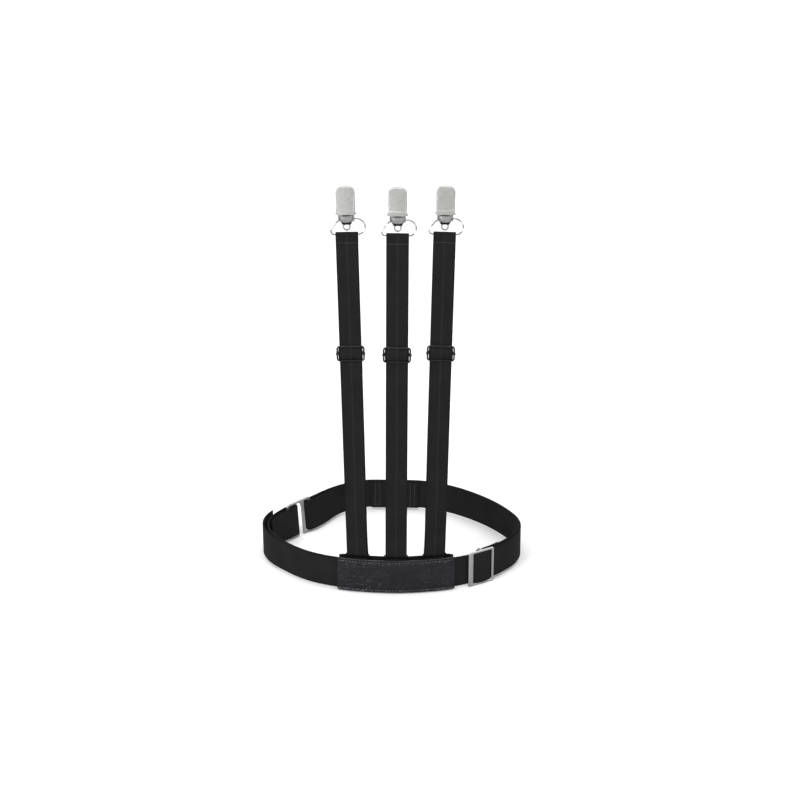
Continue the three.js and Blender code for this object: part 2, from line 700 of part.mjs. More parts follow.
function clipBody() {
  const half = ear.outside;
  const top = clip.top - 0.8;
  const neck = clip.eyelet / 2;
  const eyeZ = 2.9 + neck;
  const corner = 6;
  const shape = new THREE.Shape();
  shape.moveTo(-neck, eyeZ);
  shape.absarc(0, eyeZ, neck, Math.PI, 2 * Math.PI, false);
  shape.lineTo(neck, eyeZ + 2);
  shape.lineTo(half, eyeZ + 8);
  shape.lineTo(half, top - corner);
  shape.absarc(half - corner, top - corner, corner, 0, Math.PI / 2, false);
  shape.lineTo(-half + corner, top);
  shape.absarc(-half + corner, top - corner, corner, Math.PI / 2, Math.PI, false);
  shape.lineTo(-half, eyeZ + 8);
  shape.lineTo(-neck, eyeZ + 2);
  const hole = new THREE.Path();
  hole.absarc(0, eyeZ, clip.eyeletHole / 2, 0, 2 * Math.PI, true);
  shape.holes.push(hole);
  const plate = acrossY(shape, clip.backPlane, clip.backPlane + clip.sheet);

  // Each ear in (y, z). Under the pin it is cut back, so that the lever's lower edge can swing past.
  const pin = new THREE.Vector2(-clip.pinForward, clip.pinHeight);
  const side = new THREE.Shape([
    new THREE.Vector2(clip.backPlane + clip.sheet / 2, clip.pinHeight + 4.4),
    new THREE.Vector2(clip.backPlane + clip.sheet / 2, clip.bailPivot - 0.5),
    new THREE.Vector2(0.6, clip.bailPivot - 1.9),
    new THREE.Vector2(-1.0, clip.bailPivot - 1.6),
    new THREE.Vector2(-1.5, clip.bailPivot + 1),
    new THREE.Vector2(-2.2, clip.pinHeight - 2.4),
    new THREE.Vector2(-2.4, clip.pinHeight - 1.5),
    ...arcPoints(pin, ear.radius, 315, 60, 9),
  ]);
  const flank = (x) => acrossX(side, clip.sheet).translate(x, 0, 0);
  const earX = ear.outside - clip.sheet / 2;
  const holes = [
    rod(wire.pin / 2 + ear.hole, -clip.width, clip.width, pin.x, pin.y),
    rod(wire.bail / 2 + ear.hole, -clip.width, clip.width, 0, clip.bailPivot),
  ];
  return cut(join(plate, flank(-earX), flank(earX)), ...holes);
}

function clipLever() {
  const half = clip.width / 2;
  const bottom = clip.top - clip.leverHeight;
  const corner = clip.leverCorner;
  const outline = (inset, lowerInset) => {
    const h = half - inset;
    const c = corner - inset;
    const shape = new THREE.Shape();
    shape.moveTo(-h + 1, bottom + lowerInset);
    shape.lineTo(h - 1, bottom + lowerInset);
    shape.lineTo(h, bottom + lowerInset + 1);
    shape.lineTo(h, clip.top - inset - c);
    shape.absarc(h - c, clip.top - inset - c, c, 0, Math.PI / 2, false);
    shape.lineTo(-h + c, clip.top - inset);
    shape.absarc(-h + c, clip.top - inset - c, c, Math.PI / 2, Math.PI, false);
    shape.lineTo(-h, bottom + lowerInset + 1);
    return shape;
  };
  const front = -(clip.pinForward + 0.35 + ear.radius + clip.sheet);
  const plate = acrossY(outline(0, 0), front, front + clip.leverDepth);
  const pocket = acrossY(outline(clip.sheet, -2), front + clip.sheet, front + clip.leverDepth + 1);
  const pinHole = rod(wire.pin / 2 + ear.hole, -clip.width, clip.width, -clip.pinForward, clip.pinHeight);
  return cut(plate, pocket, pinHole);
}

// The spring jaw in (y, z), cut to its tapered outline in (x, z).
function clipJaw() {
  const lineY = -1.6;
  const profile = smooth([
    new THREE.Vector2(0.7, 9.4),
    new THREE.Vector2(0.1, 11.8),
    new THREE.Vector2(-1.2, 15),
    new THREE.Vector2(lineY, 18),
    new THREE.Vector2(lineY, 24),
    new THREE.Vector2(lineY, clip.top - 1.6),
  ], 14);
  const strip = acrossX(ribbonShape(profile, clip.sheet), jawWidth);
  const half = jawWidth / 2;
  const side = [[3.2, 5], [3.2, 9.5], [4.6, 13.5], [half, 17], [half, clip.top - 4.5], [3.5, clip.top]]
    .map(([x, z]) => new THREE.Vector2(x, z));
  const mirrored = side.map(({ x, y }) => new THREE.Vector2(-x, y)).reverse();
  const taper = new THREE.Shape([...side, ...mirrored]);
  const keep = solidFrom(acrossY(taper, -6, 6));
  return geometryFrom(solidFrom(strip).intersect(keep));
}

// A toothed pad: back face at y0, teeth towards y1.
function toothedPad(y0, y1, from, to) {
  const pitch = clip.toothPitch;
  const teeth = Math.round((to - from) / pitch);
  const direction = Math.sign(y1 - y0);
  const valley = y1 - direction * clip.toothDepth;
  const points = [new THREE.Vector2(y0, from)];
  for (let i = 0; i < teeth; i += 1) {
    points.push(new THREE.Vector2(valley, from + i * pitch));
    points.push(new THREE.Vector2(y1, from + (i + 0.5) * pitch));
  }
  points.push(new THREE.Vector2(valley, from + teeth * pitch));
  points.push(new THREE.Vector2(y0, from + teeth * pitch));
  return acrossX(new THREE.Shape(direction > 0 ? points.reverse() : points), jawWidth - 1.4);
}

function clipPin() {
  const half = clip.width / 2;
  const r = wire.pin / 2;
  const profile = [
    [0, -half - 0.75], [r + 0.3, -half - 0.75], [r + 0.5, -half - gap], [r, -half - gap],
    [r, half + gap], [r + 0.5, half + gap], [r + 0.3, half + 0.75], [0, half + 0.75],
  ].map(([x, y]) => new THREE.Vector2(x, y));
  return new THREE.LatheGeometry(profile, 12).rotateZ(-Math.PI / 2)
    .translate(0, -clip.pinForward, clip.pinHeight);
}

function makeClip(group, name) {
  const at = new THREE.Group();
  at.position.z = strap.length;
  group.add(at);
  const padTo = clip.top - 2.2;
  const padFrom = padTo - clip.padHeight;
  add(at, `clip_${name}_bail`, clipBail(), materials.nickel);
  add(at, `clip_${name}_body`, clipBody(), materials.nickel);
  add(at, `clip_${name}_jaw`, clipJaw(), materials.nickel);
  add(at, `clip_${name}_lever`, clipLever(), materials.nickel);
  add(at, `clip_${name}_pin`, clipPin(), materials.nickel);
  add(at, `clip_${name}_jaw_teeth`, toothedPad(-0.9, 0.05, padFrom, padTo), materials.teeth);
  add(at, `clip_${name}_body_teeth`, toothedPad(clip.backPlane - gap, 0.35, padFrom, padTo),
    materials.teeth);
}

// ---------------------------------------------------------------- assembly

makeBelt();
makePatch();
makeBackPanel();
makeHook();
makeAdjuster();

const anchorHeight = belt.bottom + belt.webbing + patch.margin + patch.backingRise
  + gap + foldRadius + strap.thickness / 2;

[
  { name: 'left', station: -strap.spacing, leanDegrees: -strap.splay },
  { name: 'middle', station: 0, leanDegrees: strap.middleLean },
  { name: 'right', station: strap.spacing, leanDegrees: strap.splay },
].forEach(({ name, station, leanDegrees }) => {
  const stand = standOnBelt(station, strapPlane, anchorHeight);
  const lower = new THREE.Group();
  lower.rotation.y = THREE.MathUtils.degToRad(leanDegrees);
  stand.add(lower);
  const upper = new THREE.Group();
  upper.rotation.z = -stand.rotation.z;
  lower.add(upper);
  makeAnchor(lower, name);
  const band = bandAcrossX(strapLine(), strap.thickness, strap.width);
  add(lower, `strap_${name}_webbing`, twisted(band, stand.rotation.z), materials.webbing);
  makeSlider(upper, name);
  makeClip(upper, name);
});

// The origin is the middle of the object's box, on the floor.
object.updateMatrixWorld(true);
const bounds = new THREE.Box3().setFromObject(object, true);
const middle = bounds.getCenter(new THREE.Vector3());
object.position.set(-middle.x, -middle.y, -bounds.min.z);
object.updateMatrixWorld(true);

export default object;
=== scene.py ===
# %% [markdown]
# # Shirt stays
# A thigh belt of woven webbing carries a leather patch, a hook closure and a belt adjuster. Three
# elastic straps stand up from the patch, and each ends in a sprung metal clip. The frame is loaded
# first, and the finished surfaces are built around its nodes and joints.

# %% The fixed frame
import json
import math

import bmesh
import bpy
from mathutils import Matrix, Vector, noise


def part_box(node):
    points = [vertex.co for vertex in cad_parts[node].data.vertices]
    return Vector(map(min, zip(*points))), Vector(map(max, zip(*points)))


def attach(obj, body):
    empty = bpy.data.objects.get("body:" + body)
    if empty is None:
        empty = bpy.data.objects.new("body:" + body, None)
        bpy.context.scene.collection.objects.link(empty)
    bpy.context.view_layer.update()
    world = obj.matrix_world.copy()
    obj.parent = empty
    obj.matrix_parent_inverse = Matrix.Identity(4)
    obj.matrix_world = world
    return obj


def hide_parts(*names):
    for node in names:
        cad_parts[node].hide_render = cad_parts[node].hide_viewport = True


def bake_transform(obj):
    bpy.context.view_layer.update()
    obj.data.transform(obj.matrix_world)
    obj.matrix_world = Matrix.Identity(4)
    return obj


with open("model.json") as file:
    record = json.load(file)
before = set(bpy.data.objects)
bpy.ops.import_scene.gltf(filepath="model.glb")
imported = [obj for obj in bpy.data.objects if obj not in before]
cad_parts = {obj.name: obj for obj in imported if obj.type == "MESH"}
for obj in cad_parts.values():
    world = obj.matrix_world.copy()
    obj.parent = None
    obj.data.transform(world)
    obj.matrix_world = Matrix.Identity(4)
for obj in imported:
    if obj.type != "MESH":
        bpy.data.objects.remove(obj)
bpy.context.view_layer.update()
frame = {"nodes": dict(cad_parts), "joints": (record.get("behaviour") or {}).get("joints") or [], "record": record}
scene = bpy.context.scene
MM = 0.001
joints = {j["name"]: j for j in frame["joints"]}
SIDES = ("left", "middle", "right")

# %% [markdown]
# ## Camera
# A long lens from a little above the belt keeps the straps almost parallel. It looks at a point
# somewhat below half the object's height.

# %% Camera
ELEVATION, AZIMUTH, DISTANCE = math.radians(19.0), math.radians(2.0), 1669 * MM
TARGET = Vector((8.0, 3.49, 155.8)) * MM
LENS, SENSOR = 77.4, 36.0  # in millimetres, as the camera takes them
back = Vector((math.sin(AZIMUTH) * math.cos(ELEVATION),
               -math.cos(AZIMUTH) * math.cos(ELEVATION), math.sin(ELEVATION)))
camera = bpy.data.objects.new("camera", bpy.data.cameras.new("camera"))
camera.data.lens = LENS
camera.data.sensor_width = SENSOR
camera.location = TARGET + back * DISTANCE
camera.rotation_euler = (-back).to_track_quat("-Z", "Y").to_euler()
scene.collection.objects.link(camera)
scene.camera = camera

# %% [markdown]
# ## Node helper
# Every finish is a small node tree. One helper adds a node, sets its properties and connects its
# inputs, so that a finish reads from top to bottom.

# %% Node helper
def add_node(tree, kind, inputs=None, **properties):
    node = tree.nodes.new(kind)
    for key, value in properties.items():
        setattr(node, key, value)
    for key, value in (inputs or {}).items():
        if isinstance(value, bpy.types.NodeSocket):
            tree.links.new(value, node.inputs[key])
        else:
            node.inputs[key].default_value = value
    return node


def calculate(tree, operation, *values):
    return add_node(tree, "ShaderNodeMath", dict(enumerate(values)),
                    operation=operation).outputs[0]


def ramp(tree, factor, *stops):
    node = add_node(tree, "ShaderNodeValToRGB", {0: factor})
    elements = node.color_ramp.elements
    while len(elements) < len(stops):
        elements.new(0.5)
    for element, (place, colour) in zip(elements, stops):
        element.position = place
        element.color = (*colour, 1)
    return node.outputs[0]


def spread(tree, value, low, high):
    """Carries a 0 to 1 value to the range low to high."""
    return add_node(tree, "ShaderNodeMapRange", {0: value, 3: low, 4: high}).outputs[0]


def soft_step(tree, value, start, end, low, high):
    """Carries start to low and end to high, with a smooth step between."""
    return add_node(tree, "ShaderNodeMapRange", {0: value, 1: start, 2: end, 3: low, 4: high},
                    interpolation_type="SMOOTHSTEP").outputs[0]


def noise_of(tree, place, scale, detail):
    """A noise texture at that place; the scale is in cells per metre."""
    return add_node(tree, "ShaderNodeTexNoise",
                    {"Vector": place, "Scale": scale, "Detail": detail}).outputs[0]


def object_place(tree):
    return add_node(tree, "ShaderNodeTexCoord").outputs["Object"]


def finish_named(name, **sockets):
    material = bpy.data.materials.new(name)
    material.use_nodes = True
    shader = material.node_tree.nodes["Principled BSDF"]
    for key, value in sockets.items():
        shader.inputs[key.replace("_", " ")].default_value = value
    return material, material.node_tree, shader


def connect_bump(tree, shader, height, distance, strength):
    bump = add_node(tree, "ShaderNodeBump",
                    {"Height": height, "Distance": distance, "Strength": strength})
    tree.links.new(bump.outputs[0], shader.inputs["Normal"])

# %% [markdown]
# ## Woven finishes
# The webbing's own UV map holds metres: u along the tape and v across it. Two crossed sine waves
# make the over and under of the yarns, a fine and a slow noise make them uneven, and the edges are
# darker because the selvedge is packed tight. The elastic also has a lighter line down its middle.

# %% Woven finishes
FIBRES, UNEVENNESS = 900.0, 60.0
WEAVE_DEPTH, WEAVE_STRENGTH = 0.12 * MM, 0.7
EDGE_START, EDGE_FULL, EDGE_TONE = 0.86, 0.97, 0.35


def woven(name, dark, light, pitch, half_width, ridge=0.0, ridge_light=0.0):
    material, tree, shader = finish_named(name, Roughness=0.82, Specular_IOR_Level=0.22)
    uv = add_node(tree, "ShaderNodeUVMap", uv_map="tape").outputs[0]
    along, across = add_node(tree, "ShaderNodeSeparateXYZ", {0: uv}).outputs[0:2]
    wave_along, wave_across = (
        calculate(tree, "SINE", calculate(tree, "MULTIPLY", place, math.tau / yarn))
        for place, yarn in zip((along, across), pitch))
    weave = calculate(tree, "MULTIPLY", wave_along, wave_across)
    ribs = calculate(tree, "ABSOLUTE", wave_across)
    fuzz = noise_of(tree, uv, FIBRES, 3.0)
    patchy = noise_of(tree, uv, UNEVENNESS, 4.0)
    height = calculate(tree, "ADD", calculate(tree, "MULTIPLY", weave, 0.5),
                       calculate(tree, "ADD", ribs, fuzz))
    tone = calculate(tree, "ADD", calculate(tree, "MULTIPLY", weave, 0.22),
                     calculate(tree, "ADD", calculate(tree, "MULTIPLY", fuzz, 0.45),
                               calculate(tree, "MULTIPLY", patchy, 0.5)))
    off_middle = calculate(tree, "ABSOLUTE", across)
    edge = calculate(tree, "DIVIDE", off_middle, half_width)
    tone = calculate(tree, "MULTIPLY", tone,
                     soft_step(tree, edge, EDGE_START, EDGE_FULL, 1.0, EDGE_TONE))
    if ridge:
        near = calculate(tree, "DIVIDE", off_middle, ridge)
        tone = calculate(tree, "ADD", tone, soft_step(tree, near, 0.3, 1.0, ridge_light, 0.0))
    tree.links.new(ramp(tree, tone, (0.15, dark), (0.85, light)), shader.inputs["Base Color"])
    tree.links.new(spread(tree, fuzz, 0.72, 0.95), shader.inputs["Roughness"])
    connect_bump(tree, shader, height, WEAVE_DEPTH, WEAVE_STRENGTH)
    return material


BELT_HALF, BACKING_HALF, STRAP_HALF = 15 * MM, 17.25 * MM, 10 * MM
BELT_PITCH, STRAP_PITCH = (1.5 * MM, 1.25 * MM), (1.1 * MM, 1.0 * MM)
BACKING_PITCH = (1.0 * MM, 1.0 * MM)
belt_cloth = woven("black_belt_webbing", (0.0015, 0.0015, 0.0017), (0.0125, 0.0125, 0.013),
                   BELT_PITCH, BELT_HALF)
# A lighter copy of the belt webbing for the loop on the front left: painted light, where the key light falls on
# that side of the belt.
lit_loop_cloth = woven("belt_webbing_painted_lighter", (0.003, 0.003, 0.003), (0.018, 0.018, 0.019),
                   BELT_PITCH, BELT_HALF)
strap_cloth = woven("ribbed_strap_elastic", (0.0015, 0.0015, 0.0016), (0.0105, 0.0105, 0.011),
                    STRAP_PITCH, STRAP_HALF, ridge=1.3 * MM, ridge_light=0.3)
backing_cloth = woven("backing_tape", (0.001, 0.001, 0.001), (0.006, 0.006, 0.0065),
                      BACKING_PITCH, BACKING_HALF)

# %% [markdown]
# ## Leather and thread
# The patch is glossy grained leather. Its big wrinkles are real shape, made later; the finish adds
# the small cells of the grain and a clear, slightly uneven gloss.

# %% Leather and thread
GRAIN, PORES, GLOSS_CLOUDS = 900.0, 1600.0, 70.0
GRAIN_DEPTH, GRAIN_STRENGTH = 0.4 * MM, 0.6
THREAD_TWIST, THREAD_DEPTH, THREAD_STRENGTH = 900.0, 0.1 * MM, 0.5


def grained_leather():
    material, tree, shader = finish_named("glossy_grained_leather", Specular_IOR_Level=0.55,
                                          Specular_Tint=(0.93, 0.90, 1.0, 1.0))
    place = object_place(tree)
    cells = add_node(tree, "ShaderNodeTexVoronoi", {"Vector": place, "Scale": GRAIN},
                     feature="DISTANCE_TO_EDGE").outputs["Distance"]
    pores = noise_of(tree, place, PORES, 4.0)
    cloud = noise_of(tree, place, GLOSS_CLOUDS, 5.0)
    colour = ramp(tree, cloud, (0.3, (0.003, 0.0028, 0.0032)), (0.75, (0.010, 0.0095, 0.0105)))
    tree.links.new(colour, shader.inputs["Base Color"])
    tree.links.new(spread(tree, cloud, 0.16, 0.36), shader.inputs["Roughness"])
    raised = calculate(tree, "ADD", calculate(tree, "MINIMUM", cells, 0.25),
                       calculate(tree, "MULTIPLY", pores, 0.15))
    connect_bump(tree, shader, raised, GRAIN_DEPTH, GRAIN_STRENGTH)
    return material


def waxed_thread():
    material, tree, shader = finish_named("waxed_thread", Roughness=0.38)
    twist = add_node(tree, "ShaderNodeTexWave",
                     {"Vector": object_place(tree), "Scale": THREAD_TWIST, "Distortion": 1.0},
                     bands_direction="DIAGONAL").outputs["Fac"]
    tree.links.new(ramp(tree, twist, (0.0, (0.020, 0.019, 0.022)), (1.0, (0.10, 0.095, 0.11))),
                   shader.inputs["Base Color"])
    connect_bump(tree, shader, twist, THREAD_DEPTH, THREAD_STRENGTH)
    return material


leather = grained_leather()
thread = waxed_thread()

# %% [markdown]
# ## Metal, enamel and nylon
# Three metals, the enamel and the nylon share one recipe: a noise varies the colour and the
# roughness, and a fine bump breaks the mirror. The lever's face is struck with pebbles, so its bump
# is made of rounded cells, and its colour is darker in the hollows between them: painted shade.

# %% Metal, enamel and nylon
CLOUDS, PEBBLES, PEBBLE_CLOUDS = 90.0, 1500.0, 120.0
DARKER = 0.82
PEBBLE_DEPTH, METAL_STRENGTH = 0.1 * MM, 0.5


def metal(name, colour, rough, grain_scale, grain_depth, stretch=(1, 1, 1), metallic=1.0):
    material, tree, shader = finish_named(name, Metallic=metallic)
    place = object_place(tree)
    drawn = add_node(tree, "ShaderNodeMapping", {"Vector": place, "Scale": stretch}).outputs[0]
    grain = noise_of(tree, drawn, grain_scale, 4.0)
    cloud = noise_of(tree, place, CLOUDS, 3.0)
    darker = tuple(c * DARKER for c in colour)
    tree.links.new(ramp(tree, cloud, (0.3, darker), (0.7, colour)), shader.inputs["Base Color"])
    tree.links.new(spread(tree, cloud, rough[0], rough[1]), shader.inputs["Roughness"])
    connect_bump(tree, shader, grain, grain_depth, METAL_STRENGTH)
    return material


def pebbled_metal():
    material, tree, shader = finish_named("pebbled_nickel", Metallic=0.9)
    place = object_place(tree)
    cells = add_node(tree, "ShaderNodeTexVoronoi",
                     {"Vector": place, "Scale": PEBBLES}).outputs["Distance"]
    cloud = noise_of(tree, place, PEBBLE_CLOUDS, 4.0)
    # Lighter at each pebble's middle and darker towards its rim: painted shade in the hollows between pebbles.
    tree.links.new(ramp(tree, cells, (0.0, (0.74, 0.74, 0.725)), (0.9, (0.42, 0.42, 0.415))),
                   shader.inputs["Base Color"])
    tree.links.new(spread(tree, cloud, 0.34, 0.5), shader.inputs["Roughness"])
    domes = calculate(tree, "SUBTRACT", 1.0, cells)
    connect_bump(tree, shader, domes, PEBBLE_DEPTH, METAL_STRENGTH)
    return material


DRAWN_UPRIGHT = (1, 1, 0.1)
satin_silver = metal("satin_silver", (0.78, 0.78, 0.775), (0.26, 0.38), 500.0, 0.04 * MM,
                     DRAWN_UPRIGHT)
bright_nickel = metal("bright_nickel", (0.74, 0.74, 0.735), (0.08, 0.16), 300.0, 0.02 * MM)
nickel_wire = metal("nickel_wire", (0.46, 0.46, 0.46), (0.14, 0.24), 400.0, 0.02 * MM)
black_enamel = metal("black_enamel", (0.006, 0.006, 0.0065), (0.18, 0.30), 500.0, 0.03 * MM,
                     metallic=0.0)
pebbled_nickel = pebbled_metal()
nylon = metal("moulded_nylon", (0.62, 0.61, 0.58), (0.42, 0.55), 800.0, 0.03 * MM, metallic=0.0)

# %% [markdown]
# ## Making a piece
# A finished mesh becomes a piece that rides on a body and may stand for
# plain CAD solids. Its object stays at the origin.

# %% Making a piece
WELD = 0.001 * MM
FLAT_ANGLE, CRISP_ANGLE = math.radians(1.0), math.radians(30)


def piece_of(name, bm, material, body=None, replaces=(), sharp=32):
    mesh = bpy.data.meshes.new(name)
    bm.to_mesh(mesh)
    bm.free()
    mesh.polygons.foreach_set("use_smooth", [True] * len(mesh.polygons))
    mesh.set_sharp_from_angle(angle=math.radians(sharp))
    mesh.materials.append(material)
    piece = bpy.data.objects.new(name, mesh)
    scene.collection.objects.link(piece)
    if replaces:
        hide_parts(*replaces)
    if body:
        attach(piece, body)
    return piece


def body_of_node(node):
    bodies = frame["record"]["behaviour"]["bodies"]
    return next(body for body, nodes in bodies.items() if node in nodes)


def refined(node, material, bevel, segments=2, sharp=40):
    """A copy of a CAD node with its flat faces whole again and its edges rounded."""
    bm = bmesh.new()
    bm.from_mesh(frame["nodes"][node].data)
    bmesh.ops.remove_doubles(bm, verts=bm.verts, dist=WELD)
    bmesh.ops.dissolve_limit(bm, angle_limit=FLAT_ANGLE, verts=bm.verts, edges=bm.edges)
    crisp = [e for e in bm.edges if len(e.link_faces) == 2 and e.calc_face_angle(0) > CRISP_ANGLE]
    bmesh.ops.bevel(bm, geom=crisp, offset=bevel, offset_type="OFFSET", segments=segments,
                    profile=0.5, affect="EDGES", clamp_overlap=True, material=-1)
    bmesh.ops.triangulate(bm, faces=[f for f in bm.faces if len(f.verts) > 4])
    return piece_of(node + "_finished", bm, material, body_of_node(node), [node], sharp)

# %% [markdown]
# ## A tape along a line
# Webbing is a flat tape that follows a line. A row says where the tape's middle is, which way its
# width runs and which way its face looks. A created cylinder, cut into rows, is bent onto them: its
# angle becomes the place round the tape's section, and its height becomes the row.

# %% A tape along a line
def hermite(points, step):
    """Points on a smooth line through the given ones, about step apart, even at uneven gaps."""
    n = len(points)
    gaps = [max((points[i + 1][0] - points[i][0]).length, 1e-9) for i in range(n - 1)]
    def slope(i, k):
        if i in (0, n - 1):
            j = min(i, n - 2)
            return (points[j + 1][k] - points[j][k]) / gaps[j]
        before = (points[i][k] - points[i - 1][k]) / gaps[i - 1]
        after = (points[i + 1][k] - points[i][k]) / gaps[i]
        return (before * gaps[i] + after * gaps[i - 1]) / (gaps[i] + gaps[i - 1])
    made = []
    for i, gap in enumerate(gaps):
        parts = max(1, round(gap / step))
        for j in range(parts):
            t = j / parts
            weights = (2 * t**3 - 3 * t**2 + 1, (t**3 - 2 * t**2 + t) * gap,
                       3 * t**2 - 2 * t**3, (t**3 - t**2) * gap)
            made.append(tuple(points[i][k] * weights[0] + slope(i, k) * weights[1]
                              + points[i + 1][k] * weights[2] + slope(i + 1, k) * weights[3]
                              for k in range(len(points[0]))))
    made.append(points[-1])
    return made


def rows_from(points, step):
    """Rows (distance, middle, width direction, face direction) from (middle, width) pairs."""
    fine = hermite(points, step)
    rows, distance = [], 0.0
    for i, (middle, width) in enumerate(fine):
        if i:
            distance += (middle - fine[i - 1][0]).length
        ahead = fine[min(i + 1, len(fine) - 1)][0] - fine[max(i - 1, 0)][0]
        width = width.normalized()
        rows.append((distance, middle, width, width.cross(ahead).normalized()))
    return rows


def tape_section(half_width, half_thick, samples, edge):
    """Points (across, out) round a flat tape with round edges."""
    def thick(v):
        over = max(0.0, abs(v) - (half_width - edge)) / edge
        return half_thick * math.sqrt(max(0.0, 1 - over**2))
    line = [half_width * math.sin(math.pi / 2 * (2 * i / samples - 1))
            for i in range(samples + 1)]
    return [(v, thick(v)) for v in line] + [(v, -thick(v)) for v in reversed(line[1:-1])]


def tape(rows, section, relief):
    """The tape; relief(u, v, face) lifts the cloth there, on the outer (1) or inner (-1) face."""
    bm = bmesh.new()
    count = len(section)
    bmesh.ops.create_cone(bm, cap_ends=True, segments=count, radius1=1, radius2=1, depth=1)
    upright = [e for e in bm.edges if abs(e.verts[0].co.z - e.verts[1].co.z) > 0.5]
    bmesh.ops.subdivide_edges(bm, edges=upright, cuts=len(rows) - 2, use_grid_fill=True)
    uv = bm.loops.layers.uv.new("tape")
    places = {}
    for vert in bm.verts:
        index = round(math.atan2(vert.co.y, vert.co.x) / math.tau * count) % count
        u, middle, width, out = rows[round((vert.co.z + 0.5) * (len(rows) - 1))]
        v, t = section[index]
        face = 1 if index <= count // 2 else -1
        places[vert] = (u, v)
        vert.co = middle + width * v + out * (t + face * relief(u, v, face))
    for face in bm.faces:
        for loop in face.loops:
            loop[uv].uv = places[loop.vert]
    bmesh.ops.recalc_face_normals(bm, faces=bm.faces)
    return bm

# %% [markdown]
# ## Reading the belt's line back from the frame
# Each belt layer in the frame is an upright ribbon of plain walls. Its lower and upper outlines are
# walked point by point; the four sharp corners mark its two ends, and the walls between them face
# each other in pairs. The middle of each pair is a row.

# %% Reading the belt's line back from the frame
def outline_loop(bm, height):
    """The outline at that height, as points in order, anticlockwise."""
    rim = [e for e in bm.edges if all(abs(v.co.z - height) < 0.01 * MM for v in e.verts)
           and any(abs(f.normal.z) < 0.5 for f in e.link_faces)
           and any(abs(f.normal.z) > 0.5 for f in e.link_faces)]
    neighbours = {}
    for e in rim:
        a, b = e.verts
        neighbours.setdefault(a, []).append(b)
        neighbours.setdefault(b, []).append(a)
    start = rim[0].verts[0]
    loop, before, here = [start], start, neighbours[start][0]
    while here != start:
        loop.append(here)
        before, here = here, next(v for v in neighbours[here] if v != before)
    points = [v.co.copy() for v in loop]
    area = sum(p.x * q.y - q.x * p.y for p, q in zip(points, points[1:] + points[:1]))  # doubled
    return points if area > 0 else points[::-1]


def walls_of(points, near):
    """The two facing walls of an outline, both starting at the end that is closest to near."""
    n = len(points)
    def turn(i):
        a, b = points[i] - points[i - 1], points[(i + 1) % n] - points[i]
        return a.xy.angle(b.xy)
    corners = sorted(range(n), key=turn)[-4:]
    ends = [i for i in corners if (i + 1) % n in corners]
    first = min(ends, key=lambda i: (points[i].xy - near.xy).length)
    turned = points[first + 1:] + points[:first + 1]
    half = n // 2
    return turned[:half], turned[half:][::-1]


def belt_rows(node, near, step):
    """The rows of a belt layer, from the end closest to near, and half its width and thickness."""
    bm = bmesh.new()
    bm.from_mesh(frame["nodes"][node].data)
    bmesh.ops.remove_doubles(bm, verts=bm.verts, dist=WELD)
    low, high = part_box(node)
    lower = walls_of(outline_loop(bm, low.z), near)
    upper = walls_of(outline_loop(bm, high.z), near)
    bm.free()
    points = []
    for a, b, c, d in zip(*lower, *upper):
        bottom, top = (a + b) / 2, (c + d) / 2
        points.append(((bottom + top) / 2, top - bottom))
    half_width = (high.z - low.z) / 2
    thick = sum((a - b).length for a, b in zip(*lower)) / len(lower[0])
    return rows_from(points, step), half_width, thick / 2


def bump_at(value, middle, spread_by):
    """A smooth hill, 1 high, round the middle."""
    return math.exp(-((value - middle) / spread_by) ** 2)


SELVEDGE_RISE, SELVEDGE_PLACE, SELVEDGE_SPREAD = 0.07 * MM, 0.93, 0.035


def selvedge(half_width):
    """A tape is a little thicker at both edges, where the weft turns back."""
    def relief(u, v, face):
        return SELVEDGE_RISE * bump_at(abs(v), half_width * SELVEDGE_PLACE,
                                       half_width * SELVEDGE_SPREAD)
    return relief

# %% [markdown]
# ## The belt
# Two lengths of 30 mm webbing make the belt. The long one passes through the right side of the hook
# and comes back inside itself; the short one makes the loop on the hook's left side.

# %% The belt
belt_low, belt_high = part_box("belt_webbing")
patch_low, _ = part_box("leather_patch")
BELT_STEP, BELT_SAMPLES = 2.2 * MM, 22


def belt_piece(node, material, near, body="belt", step=BELT_STEP):
    rows, half_width, half_thick = belt_rows(node, near, step)
    section = tape_section(half_width, half_thick, BELT_SAMPLES, half_thick)
    print(node, "length", round(rows[-1][0] / MM), "mm, rows", len(rows))
    bm = tape(rows, section, selvedge(half_width))
    piece_of(node + "_woven", bm, material, body, [node])
    return rows, half_width, half_thick


belt_piece("belt_webbing", belt_cloth, Vector((belt_low.x, 0, 0)))
# The hook loop takes the lighter copy of the webbing: painted light on the front left of the belt.
belt_piece("hook_loop_webbing", lit_loop_cloth, patch_low)
belt_piece("patch_backing", backing_cloth, patch_low)
panel_rows, panel_half, panel_thick = belt_piece("back_panel", belt_cloth,
                                                 Vector((belt_high.x, 0, 0)))

# %% [markdown]
# ## Places on a tape, and stitches
# A stitch is a short thread lying on the cloth. One small ball, stretched along the seam, is
# repeated down the line, so a seam of fifty stitches stays light.

# %% Places on a tape, and stitches
def on_tape(rows, u, v, out):
    """A point u along the tape, v across it and out from its middle, with its three directions."""
    last = len(rows) - 1
    i = max(next((k for k, row in enumerate(rows) if row[0] > u), last), 1)
    a, b = rows[i - 1], rows[i]
    t = (u - a[0]) / (b[0] - a[0])
    middle, width, face = (a[k].lerp(b[k], t) for k in (1, 2, 3))
    along = (b[1] - a[1]).normalized()
    return middle + width * v + face * out, along, width.normalized(), face.normalized()


def stitches(name, places, length, thickness, body):
    """A seam: one stitch at each (point, direction along it, direction out of the cloth)."""
    bm = bmesh.new()
    for point, along, out in places:
        side = out.cross(along).normalized()
        turn = Matrix((along.normalized(), side, out)).transposed().to_4x4()
        size = Matrix.Diagonal((length / 2, thickness / 2, thickness / 2, 1))
        bmesh.ops.create_icosphere(bm, subdivisions=1, radius=1,
                                   matrix=Matrix.Translation(point) @ turn @ size)
    piece_of(name, bm, thread, body)


def face_away(rows):
    """The face of the tape that looks away from the belt's middle, 1 or -1."""
    return 1 if rows[0][1].dot(rows[0][3]) > 0 else -1


